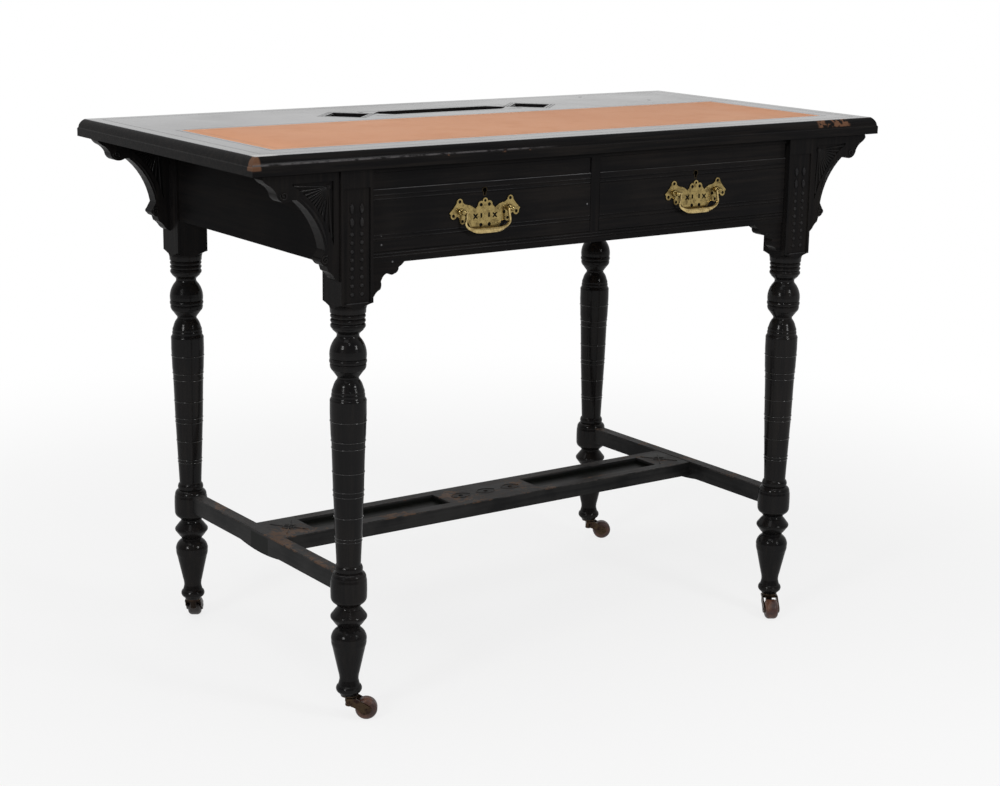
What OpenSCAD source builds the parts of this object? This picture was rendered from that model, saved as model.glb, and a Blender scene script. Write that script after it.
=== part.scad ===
// Ebonised writing table of the late Victorian aesthetic taste.
// A moulded top with a leather writing inset, a pen tray and two inkwell recesses stands on a
// frieze with two drawers, four turned legs joined by an H stretcher, and four castors.
// The origin lies on the floor under the middle of the table, X along the length, front towards -Y.

/* [Top] */
// Length of the top board
top_length = 1030; // [990:5:1080]
// Depth of the top board, front to back
top_depth = 500; // [490:2:530]
// Height of the writing surface above the floor
table_height = 743; // [720:1:770]
// Thickness of the top board
top_thickness = 23.5; // [21:0.5:28]
// Width of the rounded upper edge of the top
edge_round_width = 8; // [5:0.5:11]
// Fall of the rounded upper edge down to its quirk
edge_round_fall = 11.6; // [8:0.2:14]
// Depth of the quirk cut under the rounded edge
edge_quirk = 1.2; // [0.5:0.1:2]

/* [Leather inset] */
// Length of the leather
leather_length = 910; // [820:5:940]
// Depth of the leather, front to back
leather_depth = 244; // [210:2:256]
// Thickness of the leather, which is also the depth of its recess
leather_thickness = 1.2; // [0.8:0.1:2]
// Bare margin between the front edge of the top and the leather
leather_margin = 59; // [45:1:65]

/* [Pen tray and inkwell recesses] */
// Distance from the front edge of the top to the row of recesses
row_from_front = 377; // [366:1:395]
// Length of the pen tray between its two points
tray_length = 224; // [180:2:236]
// Width of the pen tray
tray_width = 38; // [30:1:44]
// Depth of the pen tray
tray_depth = 9; // [6:0.5:12]
// Distance between the two inkwell recesses
well_spacing = 320; // [312:2:400]
// Half of an inkwell recess measured from corner to corner
well_half_diagonal = 33; // [26:1:38]
// Depth of an inkwell recess
well_depth = 13; // [8:0.5:15]
// Width of the shallow rim around the tray and the recesses
rim_width = 3; // [2:0.5:4]
// Depth of that rim
rim_depth = 1.2; // [0.6:0.1:2]

/* [Legs] */
// Distance between the leg centres along the table
leg_spacing_x = 738.4; // [715:1:770]
// Distance between the leg centres front to back
leg_spacing_y = 445.6; // [436:1:456]
// Width of the square block at the head of a leg
block_width = 46; // [44:0.5:50]
// Length of the square block below the top
block_length = 159.5; // [150:0.5:175]
// Largest radius of the turned work
turning_radius = 23.5; // [21.5:0.1:24.5]
// Radius of the necks between the turned members
neck_radius = 14.3; // [12.5:0.1:16]
// Radius of the taper just above the stretcher drum
taper_foot_radius = 15.8; // [14:0.1:18]
// Depth of the incised rings
ring_depth = 0.7; // [0.4:0.1:1.2]
// Depth of the sunk panel in the face of a front block
panel_depth = 2.2; // [0.8:0.1:3]
// Width of the sunk panel in the face of a front block
panel_width = 38; // [32:1:40]

/* [Frieze] */
// Height of the frieze rails
frieze_height = 120; // [112:1:130]
// Thickness of the end rails and the back rail
rail_thickness = 20; // [16:1:22]
// Set-back of the drawer fronts behind the faces of the leg blocks
front_setback = 8; // [4:0.5:12]
// Set-back of the end rails and the back rail behind the leg blocks
rail_setback = 3; // [1:0.5:6]
// Thickness of the thin rail above the drawers
top_rail_thickness = 6.5; // [6:0.5:10]
// Depth of the thin rail above the drawers, front to back
top_rail_depth = 55; // [45:1:65]
// Thickness of the rail and the runners below the drawers
bottom_rail_thickness = 14.5; // [13:0.5:18]
// Depth of the rail below the drawers, front to back
bottom_rail_depth = 45; // [40:1:55]
// Width of the upright between the drawers
divider_width = 14.5; // [13:0.5:20]
// Distance of that upright to the right of the middle
divider_offset = 4; // [0:0.5:8]
// Width of the bearer and of the kicker in the middle
bearer_width = 44; // [38:1:56]
// Inward reach of the end runners and kickers beyond the leg blocks
runner_reach = 24; // [16:1:34]
// Height of the strips that guide the drawers
guide_height = 16; // [10:1:22]
// Thickness of the kicker strips under the top
kicker_thickness = 16.5; // [13:0.5:17]

/* [Brackets] */
// Thickness of the fretted brackets
bracket_thickness = 20; // [14:1:26]
// Height of an end bracket down the leg block
bracket_height = 137; // [130:1:146]
// Distance from the end of the top to the nose of an end bracket
bracket_inset = 16.8; // [10:0.2:22]
// Depth of the sunk spandrel in the faces of an end bracket
spandrel_depth = 2.5; // [1:0.25:5]
// Width of the plain border between a spandrel and the leg block
spandrel_border = 8.5; // [6:0.5:11]
// Length of the small bracket under the front rail
small_bracket_length = 52; // [44:1:64]
// Drop of the small bracket under the front rail
small_bracket_drop = 42; // [36:1:44]
// Thickness of the small bracket under the front rail
small_bracket_thickness = 16; // [10:1:22]

/* [Stretcher] */
// Height of the underside of the stretcher above the floor
stretcher_z = 171; // [168:0.5:174]
// Width of the two end rails of the stretcher
stretcher_rail_width = 17; // [14:0.5:22]
// Height of the two end rails of the stretcher
stretcher_rail_height = 25; // [20:0.5:28]
// Depth of the rounded drop in the middle of those rails
stretcher_drop = 4; // [2:0.5:7]
// Width of the centre stretcher, front to back
stretcher_board_width = 81; // [70:1:100]
// Thickness of the centre stretcher
stretcher_board_thickness = 21; // [17:0.5:22]
// Depth of the two long sunk panels
stretcher_panel_depth = 7; // [3:0.5:10]
// Margin of the board beside the sunk panels
stretcher_margin = 17; // [12:0.5:22]
// Length of the carved block in the middle of the stretcher
stretcher_block_length = 156; // [120:1:180]
// Length of the carved block at each end of the stretcher
stretcher_end_length = 56; // [40:1:70]

/* [Drawers] */
// Gap around a drawer in its opening
drawer_gap = 0.6; // [0.3:0.1:1.2]
// Thickness of a drawer front
drawer_front_thickness = 20; // [18:0.5:24]
// Thickness of the drawer sides and back
drawer_side_thickness = 9; // [8:0.5:11]
// Length of the drawer sides behind the front
drawer_side_length = 412; // [360:1:420]
// Height of the drawer sides
drawer_side_height = 87; // [76:1:88]
// Thickness of the drawer bottom
drawer_bottom_thickness = 6; // [5:0.5:7]
// Height of the drawer bottom above the lower edge of the sides
drawer_bottom_rise = 10; // [8:0.5:13]
// Distance from the end of the sides to the drawer back
drawer_back_inset = 6; // [3:0.5:20]
// Depth of the step that forms the bright ledge of a drawer front
ledge_step = 1.8; // [1:0.1:3]
// Distance from the top of a drawer front to the ledge
ledge_drop = 20; // [16:0.5:22]

/* [Lock] */
// Width of the lock case
lock_width = 40; // [34:1:48]
// Height of the lock case
lock_height = 34; // [30:1:36]
// Depth of the lock case let into the drawer front
lock_depth = 10; // [8:0.5:11]
// Thickness of the lock's plates
lock_plate = 1.5; // [1:0.1:2]
// Width of the bolt
bolt_width = 16; // [12:0.5:20]
// Thickness of the bolt
bolt_thickness = 4; // [3:0.5:5]
// Travel of the bolt
bolt_travel = 5; // [4:0.5:5.5]
// Drop from the top of a drawer front to the middle of the keyhole's round
keyhole_drop = 31; // [29:0.5:33]

/* [Handles] */
// Distance between the two posts of a handle
post_spacing = 76; // [72:0.5:80]
// Height of the handle posts above the lower edge of a drawer front
post_rise = 41.5; // [40:0.5:44]
// Thickness of the pierced back plate
plate_thickness = 1.6; // [1.2:0.1:2.2]
// Reach of the bail's pivot in front of the plate
pivot_reach = 7; // [6.5:0.25:9]
// Radius of the eye in a post's head
eye_radius = 3.5; // [3:0.1:4]
// Radius of the pins at the ends of the bail
bail_pin_radius = 1.4; // [1.1:0.05:1.7]
// Radius of the threaded shank of a post
shank_radius = 2.3; // [2:0.1:2.6]
// Thickest radius of the bail in the middle of its grip
grip_radius = 3.8; // [3:0.1:4]
// Thinnest radius of the bail's arms
arm_radius = 1.8; // [1.5:0.1:2]
// Drop of the bail's grip below its pivots
bail_drop = 25.5; // [24:0.5:29]

/* [Castors] */
// Radius of a castor wheel
wheel_radius = 14.5; // [13:0.25:15.5]
// Width of a castor wheel
wheel_width = 19; // [15:0.5:22]
// Trail of the wheel behind the swivel axis
castor_trail = 22.5; // [20:0.5:26]
// Height of the underside of the leg above the floor
foot_height = 33; // [32:0.5:37]
// Radius of the swivel pin
pintle_radius = 4; // [3.5:0.25:4.75]
// Radius of the wheel's axle
axle_radius = 2; // [1.6:0.1:2.6]
// Thickness of the horn's cheeks
cheek_thickness = 1.9; // [1.5:0.1:2.4]
// Swivel angle of the front left castor
swivel_front_left = -33; // [-50:1:-20]
// Swivel angle of the rear left castor, which the front right one opposes
swivel_rear_left = 57; // [45:0.5:65]
// Swivel angle of the rear right castor
swivel_rear_right = -30; // [-45:1:10]

/* [Screws] */
// Radius of the screws that hold the top
screw_radius = 2; // [1.6:0.1:2.5]
// Depth to which the screws bite into the top
screw_bite = 12; // [8:0.5:13]

/* [Hidden] */
$fn = 48;

ebony = "#1d1c1e";
worn_ebony = "#3b3531";
deal = "#a88a63";
tan_leather = "#c8966e";
old_brass = "#9c8246";
steel = "#8a8680";
castor_brown = "#4a3026";

// Working clearances
slide_gap = 0.3;
running_fit = 0.06;
overcut = 1;

// Places worked out from the sizes above
under_top = table_height - top_thickness;
block_half = block_width / 2;
block_bottom = under_top - block_length;
frieze_bottom = under_top - frieze_height;
leg_x = leg_spacing_x / 2;
leg_y = leg_spacing_y / 2;
inner_x = leg_x - block_half;
inner_y = leg_y - block_half;
outer_x = leg_x + block_half;
front_face = -(leg_y + block_half);
front_y = front_face + front_setback;
end_rail_outer = outer_x - rail_setback;
end_rail_inner = end_rail_outer - rail_thickness;
back_rail_outer = leg_y + block_half - rail_setback;
back_rail_inner = back_rail_outer - rail_thickness;
opening_bottom = frieze_bottom + bottom_rail_thickness;
opening_top = under_top - top_rail_thickness;
bottom_rail_back = front_y + bottom_rail_depth;
top_rail_back = front_y + top_rail_depth;
divider_half = divider_width / 2;
overhang = top_length / 2 - outer_x;
row_y = -top_depth / 2 + row_from_front;
leather_y = -top_depth / 2 + leather_margin + leather_depth / 2;

// Drawer places
function drawer_half(side) = (inner_x - divider_half - side * divider_offset) / 2 - drawer_gap;
function drawer_x(side) = (side * (inner_x + divider_half) + divider_offset) / 2;
drawer_z = opening_bottom + slide_gap;
front_low = opening_bottom + drawer_gap;
front_high = opening_top - drawer_gap;
front_back = front_y + drawer_front_thickness;
side_end = front_back + drawer_side_length;
bottom_z = drawer_z + drawer_bottom_rise;
bottom_top = bottom_z + drawer_bottom_thickness;
groove_bite = drawer_side_thickness / 2;
lap_depth = 8;
reed_drops = [28, 33.2, 77.8, 82.4];
bottom_reed_drops = [3, 7];
reed_radius = 1.1;
keyhole_z = front_high - keyhole_drop;
keyhole_radius = 3;
keyhole_slot = 2.6;
keyhole_reach = 6.5;
thread_wall = 1;
thread_depth = 4;
post_z = front_low + post_rise;
post_x = post_spacing / 2;
plate_face = front_y - plate_thickness;
pivot_y = plate_face - pivot_reach;

// Castor places
foot_radius = 11.2;
sleeve_radius = pintle_radius + 2;
sleeve_length = 27;
socket_plate = 1.6;
pintle_head = pintle_radius + 1;
horn_top = foot_height - socket_plate - slide_gap * 3;
horn_plate = 3;
castor_angles = [swivel_front_left, swivel_rear_left + 180, swivel_rear_left, swivel_rear_right];
leg_centres = [[-leg_x, -leg_y], [leg_x, -leg_y], [-leg_x, leg_y], [leg_x, leg_y]];

// Joint sizes of the carcase
tenon_length = 18;
tenon_thickness = 10;
stub = 5;

// Points of a round stretch from a to b whose middle stands s to the right of the chord
function round_stretch(a, b, s, steps = 8) =
    let (c = norm(b - a), along = (b - a) / c, out = [along.y, -along.x])
    let (r = (c * c / 4 + s * s) / (2 * s), half = asin(c / 2 / r), centre = (a + b) / 2 - out * (r - s))
    [for (i = [0:steps - 1]) let (t = -half + 2 * half * i / steps)
        centre + out * r * cos(t) + along * r * sin(t)];

// An outline from stations [x, y, s], where s rounds the stretch to the next station
function outline(stations, steps = 8) = [
    for (i = [0:len(stations) - 1])
        let (p = stations[i], q = stations[(i + 1) % len(stations)])
        each (p[2] == 0 ? [[p.x, p.y]] : round_stretch([p.x, p.y], [q.x, q.y], p[2], steps))
];

module at_mirrored_x() {
    children();
    mirror([1, 0, 0]) children();
}

// A block between two corners
module span(a, b) {
    translate(a) cube(b - a);
}

// An outline in the XZ plane, given thickness from y0 towards the back
module upright_slab(y0, thickness) {
    translate([0, y0 + thickness, 0]) rotate([90, 0, 0]) linear_extrude(thickness) children();
}

/* Top */

module edge_profile(half) {
    rounded = outline([
        [half, table_height - top_thickness, 0],
        [half, table_height - edge_round_fall - edge_quirk, 0],
        [half - edge_quirk, table_height - edge_round_fall, 1.6],
        [half - edge_round_width, table_height, 0]
    ]);
    polygon(concat(rounded, [for (i = [len(rounded) - 1:-1:0]) [-rounded[i].x, rounded[i].y]]));
}

module moulded_board() {
    intersection() {
        translate([0, top_depth / 2, 0]) rotate([90, 0, 0])
            linear_extrude(top_depth) edge_profile(top_length / 2);
        translate([-top_length / 2, 0, 0]) rotate([90, 0, 90])
            linear_extrude(top_length) edge_profile(top_depth / 2);
    }
}

module leather_outline() {
    translate([0, leather_y]) square([leather_length, leather_depth], center = true);
}

module tray_outline(grow = 0) {
    half = tray_length / 2 + grow * sqrt(2);
    side = tray_width / 2 + grow;
    shoulder = half - side;
    translate([0, row_y]) polygon([
        [-half, 0], [-shoulder, -side], [shoulder, -side], [half, 0], [shoulder, side], [-shoulder, side]
    ]);
}

module well_outline(grow = 0) {
    half = well_half_diagonal + grow * sqrt(2);
    polygon([[-half, 0], [0, -half], [half, 0], [0, half]]);
}

module sunk(depth) {
    translate([0, 0, table_height - depth]) linear_extrude(depth + overcut) children();
}

module top_board() {
    color(ebony) difference() {
        moulded_board();
        sunk(leather_thickness) leather_outline();
        sunk(rim_depth) tray_outline(rim_width);
        sunk(tray_depth) tray_outline();
        for (side = [-1, 1]) {
            sunk(rim_depth) translate([side * well_spacing / 2, row_y]) well_outline(rim_width);
            sunk(well_depth) translate([side * well_spacing / 2, row_y]) well_outline();
        }
        screws(running_fit);
    }
}

module leather_inset() {
    color(tan_leather)
        translate([0, 0, table_height - leather_thickness])
        linear_extrude(leather_thickness) leather_outline();
}

/* Legs */

drum_swell = 0.3;
lower_stations = [
    [foot_radius, foot_height, 0],
    [13.3, foot_height + 3.2, 3.3],
    [14.2, foot_height + 14.6, 0],
    [12.5, foot_height + 21.5, -0.4],
    [14, foot_height + 32, 0],
    [21.6, foot_height + 67, 0.5],
    [turning_radius - 0.5, foot_height + 76, 0.3],
    [turning_radius - 0.5, foot_height + 81, 1.6],
    [neck_radius, foot_height + 92.5, -0.6],
    [neck_radius + 3.3, foot_height + 98, 0],
    [turning_radius - 0.4, foot_height + 105.5, 0.8],
    [turning_radius - 0.4, foot_height + 110.5, 0],
    [neck_radius + 3, foot_height + 118, -0.6],
    [neck_radius + 0.5, foot_height + 122.5, 0],
    [neck_radius + 4.6, foot_height + 126.5, 1],
    [turning_radius, foot_height + 133.5, drum_swell],
    [turning_radius, foot_height + 157, 0],
    [turning_radius - 0.7, foot_height + 160.5, 1],
    [19.4, foot_height + 167.5, 0],
    [17.4, foot_height + 168.5, 1.1],
    [17.2, foot_height + 177, 0]
];
taper_z0 = foot_height + 178.5;
taper_z1 = block_bottom - 134;
taper_length = taper_z1 - taper_z0;
taper_stations = [[0, 0], [0.47, 0.54], [0.75, 0.755], [0.80, 0.88], [0.93, 1], [1, 1]];
ring_places = [0.148, 0.169, 0.298, 0.428, 0.459, 0.574, 0.722, 0.753, 0.851];

function taper_radius(t) =
    taper_foot_radius + (turning_radius - 0.1 - taper_foot_radius)
    * lookup(t, taper_stations);

function ring_cut(t) =
    let (z = taper_z0 + taper_length * t, r = taper_radius(t))
    [[r, z - ring_depth, 0], [r - ring_depth, z, 0], [r, z + ring_depth, 0]];

taper_outline = concat(
    [[taper_radius(0), taper_z0, 0]],
    [for (t = ring_places) if (t < 0.47) each ring_cut(t)],
    [[taper_radius(0.47), taper_z0 + taper_length * 0.47, 0]],
    [for (t = ring_places) if (t > 0.47 && t < 0.75) each ring_cut(t)],
    [[taper_radius(0.7505), taper_z0 + taper_length * 0.7505, 0]],
    ring_cut(0.765),
    [for (t = [0.80, 0.93]) [taper_radius(t), taper_z0 + taper_length * t, 0]]
);

upper_stations = [
    [turning_radius - 0.2, block_bottom - 134, 0.6],
    [turning_radius - 1.4, block_bottom - 129.5, 0],
    [turning_radius - 2.3, block_bottom - 127.5, 0.5],
    [turning_radius - 2.8, block_bottom - 122.5, 0.5],
    [turning_radius - 3.4, block_bottom - 118, 0],
    [19, block_bottom - 114.5, 0.6],
    [neck_radius, block_bottom - 105.5, -0.8],
    [neck_radius + 0.5, block_bottom - 101, 0],
    [20, block_bottom - 94, 1.2],
    [turning_radius - 0.6, block_bottom - 85.5, 0],
    [turning_radius - 0.6 - ring_depth, block_bottom - 84.7, 0],
    [turning_radius - 0.2, block_bottom - 83.9, 0.6],
    [turning_radius - 0.4, block_bottom - 79, 0],
    [turning_radius - 0.4 - ring_depth, block_bottom - 78.2, 0],
    [turning_radius - 0.1, block_bottom - 77.4, 3],
    [neck_radius + 0.7, block_bottom - 51.5, -0.6],
    [neck_radius + 0.4, block_bottom - 46.5, 0],
    [19.4, block_bottom - 42, 0],
    [21, block_bottom - 39.5, 1.3],
    [21, block_bottom - 33.6, 0],
    [20.4, block_bottom - 33, 0],
    [21, block_bottom - 32.4, 1.3],
    [21, block_bottom - 27.8, 0],
    [20.4, block_bottom - 27.2, 0],
    [21, block_bottom - 26.6, 1.3],
    [21, block_bottom - 21.6, 0],
    [turning_radius - 0.9, block_bottom - 20, 0],
    [turning_radius - 0.6, block_bottom - 14.5, 0]
];

module turned_part() {
    top_z = block_bottom - 14.5;
    rotate_extrude($fn = 64)
        polygon(concat(
            [[0, foot_height]],
            outline(concat(lower_stations, taper_outline, upper_stations, [[0, top_z, 0]]), 6)
        ));
}

// The square block with its turned shoulder, where the corners run down into the round
module square_block() {
    corner = block_half * sqrt(2) + overcut;
    intersection() {
        span([-block_half, -block_half, block_bottom - 15], [block_half, block_half, under_top]);
        rotate_extrude($fn = 64) polygon(concat(
            [[0, block_bottom - 15], [turning_radius - 0.6, block_bottom - 15]],
            outline([
                [turning_radius + 0.5, block_bottom - 11, -0.8],
                [corner, block_bottom - 6.5, 0],
                [corner, under_top + overcut, 0],
                [0, under_top + overcut, 0]
            ], 8)
        ));
    }
}

module sleeve_bore() {
    cylinder(r = sleeve_radius, h = foot_height + sleeve_length);
    translate([0, 0, foot_height + sleeve_length - overcut])
        cylinder(r = sleeve_radius, h = 4 + overcut);
}

// A leg in its own place, its centre on the Z axis
module plain_leg() {
    difference() {
        union() {
            turned_part();
            square_block();
        }
        sleeve_bore();
    }
}

panel_low = block_bottom - 5;
panel_high = opening_top - 16;
panel_floor = -block_half + panel_depth;
bead_radius = 3.7;
bead_pitch = 10.7;
bead_rows = 8;
husk_length = 15.5;
husk_pitch = 17;

module block_panel() {
    span(
        [-panel_width / 2, -block_half - overcut, panel_low],
        [panel_width / 2, -block_half + panel_depth, panel_high]
    );
}

// Two columns of beads, each with two husks above it, standing flush with the face of the block
module block_panel_beads() {
    first = panel_low + bead_pitch;
    first_husk = first + (bead_rows - 1) * bead_pitch + bead_radius + husk_length / 2 + 3;
    for (side = [-1, 1]) translate([side * panel_width * 0.185, 0, 0]) {
        for (row = [0:bead_rows - 1])
            translate([0, -block_half + bead_radius, first + row * bead_pitch])
            sphere(r = bead_radius, $fn = 24);
        for (row = [0, 1]) intersection() {
            translate([0, panel_floor, first_husk + row * husk_pitch]) rotate_extrude($fn = 24)
                polygon(outline([[0, -husk_length / 2, bead_radius * 0.75], [0, husk_length / 2, 0]]));
            span([-block_half, -block_half, panel_low], [block_half, panel_floor + 1, under_top]);
        }
    }
}

module leg(index) {
    centre = leg_centres[index];
    front = centre.y < 0;
    color(ebony) difference() {
        translate([centre.x, centre.y, 0]) union() {
            difference() {
                plain_leg();
                if (front) block_panel();
            }
            if (front) block_panel_beads();
        }
        end_rail_shape(sign(centre.x));
        back_rail_shape();
        front_bottom_rail_shape();
        front_top_rail_shape();
        stretcher_tenon(centre);
    }
}

module leg_front_left() { leg(0); }
module leg_front_right() { leg(1); }
module leg_rear_left() { leg(2); }
module leg_rear_right() { leg(3); }

/* Frieze */

module end_rail_shape(side) {
    middle = end_rail_inner + rail_thickness / 2;
    mirror([side < 0 ? 1 : 0, 0, 0]) {
        span([end_rail_inner, -inner_y, frieze_bottom], [end_rail_outer, inner_y, under_top]);
        span(
            [middle - tenon_thickness / 2, -inner_y - tenon_length, frieze_bottom + 10],
            [middle + tenon_thickness / 2, inner_y + tenon_length, under_top - 15]
        );
    }
}

module back_rail_shape() {
    middle = back_rail_inner + rail_thickness / 2;
    span([-inner_x, back_rail_inner, frieze_bottom], [inner_x, back_rail_outer, under_top]);
    span(
        [-inner_x - tenon_length, middle - tenon_thickness / 2, frieze_bottom + 10],
        [inner_x + tenon_length, middle + tenon_thickness / 2, under_top - 15]
    );
}

module front_bottom_rail_shape() {
    span([-inner_x, front_y, frieze_bottom], [inner_x, bottom_rail_back, opening_bottom]);
    span(
        [-inner_x - tenon_length, front_y + 8, frieze_bottom + 3],
        [inner_x + tenon_length, bottom_rail_back - 8, opening_bottom - 3]
    );
}

// The thin upper rail, dovetailed down into the heads of the front legs
module front_top_rail_shape() {
    throat = 11;
    flare = 15;
    middle_y = front_y + 20;
    span([-inner_x, front_y, opening_top], [inner_x, top_rail_back, under_top]);
    translate([0, 0, opening_top]) linear_extrude(top_rail_thickness) at_mirrored_x() polygon([
        [inner_x - overcut, middle_y - throat], [inner_x, middle_y - throat],
        [inner_x + tenon_length, middle_y - flare], [inner_x + tenon_length, middle_y + flare],
        [inner_x, middle_y + throat], [inner_x - overcut, middle_y + throat]
    ]);
}

module divider_tenon() {
    translate([divider_offset, 0, 0]) span(
        [-divider_half / 2, front_y + 8, opening_bottom - stub],
        [divider_half / 2, bottom_rail_back - 8, opening_top + top_rail_thickness - 2]
    );
}

module end_rail(side) {
    color(ebony) end_rail_shape(side);
}

module end_rail_left() { end_rail(-1); }
module end_rail_right() { end_rail(1); }

module back_rail() {
    color(ebony) difference() {
        back_rail_shape();
        bearer_shape();
    }
}

module front_top_rail() {
    color(ebony) difference() {
        front_top_rail_shape();
        divider_tenon();
        for (side = [-1, 1]) translate([drawer_x(side), 0, 0]) bolt_mortise();
        screws(running_fit);
    }
}

// The slot that receives the lock's bolt
module bolt_mortise() {
    play = 1;
    span(
        [-bolt_width / 2 - play, bolt_y - bolt_thickness / 2 - play, opening_top - overcut],
        [bolt_width / 2 + play, bolt_y + bolt_thickness / 2 + play, front_high + bolt_travel + play]
    );
}

module front_bottom_rail() {
    color(ebony) difference() {
        front_bottom_rail_shape();
        divider_tenon();
        bearer_shape();
        for (drop = bottom_reed_drops)
            translate([0, front_y, opening_bottom - drop]) rotate([0, 90, 0])
                cylinder(r = reed_radius, h = 2 * inner_x + 2, center = true, $fn = 16);
    }
}

module front_divider() {
    color(ebony) {
        translate([divider_offset, 0, 0])
            span([-divider_half, front_y, opening_bottom], [divider_half, bottom_rail_back, opening_top]);
        divider_tenon();
    }
}

/* Carcase inside */

module bearer_shape() {
    half = bearer_width / 2;
    translate([divider_offset, 0, 0]) {
        span([-half, bottom_rail_back, frieze_bottom], [half, back_rail_inner, opening_bottom]);
        span(
            [-half + 6, bottom_rail_back - stub, frieze_bottom + 4],
            [half - 6, back_rail_inner + stub, opening_bottom - 4]
        );
    }
}

module centre_bearer() {
    color(deal) bearer_shape();
}

// The plan of an end strip that fills up to the end rail and passes inside the rear leg
module end_strip_plan(y0) {
    polygon([
        [inner_x - runner_reach, y0], [end_rail_inner, y0], [end_rail_inner, inner_y],
        [inner_x, inner_y], [inner_x, back_rail_inner], [inner_x - runner_reach, back_rail_inner]
    ]);
}

module drawer_runners() {
    color(deal) at_mirrored_x() translate([0, 0, frieze_bottom])
        linear_extrude(bottom_rail_thickness) end_strip_plan(bottom_rail_back);
}

module drawer_guides() {
    guide_top = opening_bottom + guide_height;
    color(deal) {
        at_mirrored_x() span(
            [inner_x, bottom_rail_back, opening_bottom], [end_rail_inner, inner_y, guide_top]
        );
        translate([divider_offset, 0, 0])
            span([-divider_half, bottom_rail_back, opening_bottom], [divider_half, back_rail_inner, guide_top]);
    }
}

module kicker_strips() {
    low = under_top - kicker_thickness;
    at_mirrored_x() translate([0, 0, low])
        linear_extrude(kicker_thickness) end_strip_plan(top_rail_back);
    translate([divider_offset, 0, 0])
        span([-bearer_width / 2, top_rail_back, low], [bearer_width / 2, back_rail_inner, under_top]);
}

module drawer_kickers() {
    color(deal) difference() {
        kicker_strips();
        screws(running_fit);
    }
}

stop_height = 6;
stop_offset = 100;
module drawer_stops() {
    color(deal) for (side = [-1, 1], place = [-1, 1])
        translate([drawer_x(side) + place * stop_offset, 0, 0]) span(
            [-20, front_back + slide_gap, opening_bottom],
            [20, bottom_rail_back - 2, opening_bottom + stop_height]
        );
}

module glue_blocks() {
    size = 20;
    half = 25;
    color(deal) for (x = [-0.72, -0.36, 0.36, 0.72]) translate([x * inner_x, 0, 0])
        rotate([90, 0, 90]) translate([0, 0, -half]) linear_extrude(2 * half) polygon([
            [back_rail_inner, under_top], [back_rail_inner - size, under_top],
            [back_rail_inner - size, under_top - 5], [back_rail_inner - 5, under_top - size],
            [back_rail_inner, under_top - size]
        ]);
}

// The screws that hold the top, each in its place and grown by a clearance
screw_head_radius = screw_radius * 2;
screw_places = [
    for (x = [-0.8, -0.3, 0.3, 0.8]) [x * inner_x, front_y + 32, opening_top],
    for (x = [-1, 1], y = [-0.4, 0.5]) [x * (inner_x - runner_reach / 2), y * inner_y, under_top - 9]
];

module screws(clearance = 0) {
    for (p = screw_places) translate(p) {
        cylinder(
            r1 = screw_head_radius + clearance, r2 = screw_radius + clearance, h = screw_radius * 1.2
        );
        cylinder(r = screw_radius + clearance, h = under_top - p.z + screw_bite + clearance);
        if (clearance > 0 && p.z < opening_top) translate([0, 0, -20 + 0.001])
            cylinder(r = screw_head_radius + clearance, h = 20);
    }
}

module top_screws() {
    color(steel) screws();
}

/* Brackets */

// Stations from the nose under the top, round the fretted edge, to the foot on the leg block
function bracket_stations(reach, height) = [
    [0, 0, 0],
    [reach - 2, 0, 0],
    [reach, 5, 0.6],
    [reach - 7, 11.5, -0.9],
    [reach - 17, 20, 0],
    [reach - 18.5, 22.5, 3.2],
    [reach - 30.5, 33.8, 0.8],
    [reach - 40, 31.6, 0],
    [reach - 46, 31.4, -7.2],
    [20.8, height - 41.5, 0],
    [26.4, height - 32, 1.8],
    [26.4, height - 26, 1.2],
    [19, height - 21.5, 0],
    [16.6, height - 14.5, -0.8],
    [8.5, height - 6.5, 0.8],
    [0, height, 0]
];

module bracket_outline() {
    stations = bracket_stations(overhang - bracket_inset, bracket_height);
    translate([outer_x, under_top]) mirror([0, 1])
        polygon(outline(stations));
}

// The sunk corner field between the straight borders and the raised crescent
module spandrel_outline() {
    reach = overhang - bracket_inset;
    drop = spandrel_border + 3.5;
    translate([outer_x, under_top]) mirror([0, 1]) polygon(outline([
        [spandrel_border, drop, 0],
        [reach - 40, drop, 0],
        [reach - 40, drop + 1.5, -9],
        [spandrel_border, bracket_height - 46, 0]
    ]));
}

module end_bracket(side_x, side_y) {
    face = leg_y + block_half - rail_setback;
    y0 = side_y < 0 ? -face : face - bracket_thickness;
    color(ebony) mirror([side_x < 0 ? 1 : 0, 0, 0]) difference() {
        upright_slab(y0, bracket_thickness) bracket_outline();
        upright_slab(y0 - overcut, spandrel_depth + overcut) spandrel_outline();
        upright_slab(y0 + bracket_thickness - spandrel_depth, spandrel_depth + overcut) spandrel_outline();
    }
}

module end_bracket_front_left() { end_bracket(-1, -1); }
module end_bracket_front_right() { end_bracket(1, -1); }
module end_bracket_rear_left() { end_bracket(-1, 1); }
module end_bracket_rear_right() { end_bracket(1, 1); }

module inner_bracket(side_x) {
    long = small_bracket_length;
    drop = small_bracket_drop;
    stations = [
        [0, 0, 0],
        [long, 0, 0],
        [long - 4, 4, 0],
        [long - 9, 7, 2],
        [long - 15, 14.5, 2],
        [28, 13, -1.2],
        [19.4, 18, 0],
        [17, 23, 1.2],
        [16, 33, -1.2],
        [7, drop - 1, 0],
        [0, drop, 0]
    ];
    color(ebony) mirror([side_x < 0 ? 1 : 0, 0, 0])
        upright_slab(front_y + 2, small_bracket_thickness)
        translate([inner_x, frieze_bottom]) mirror([1, 0]) mirror([0, 1])
        polygon(outline(stations));
}

module inner_bracket_left() { inner_bracket(-1); }
module inner_bracket_right() { inner_bracket(1); }

/* Stretcher */

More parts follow.
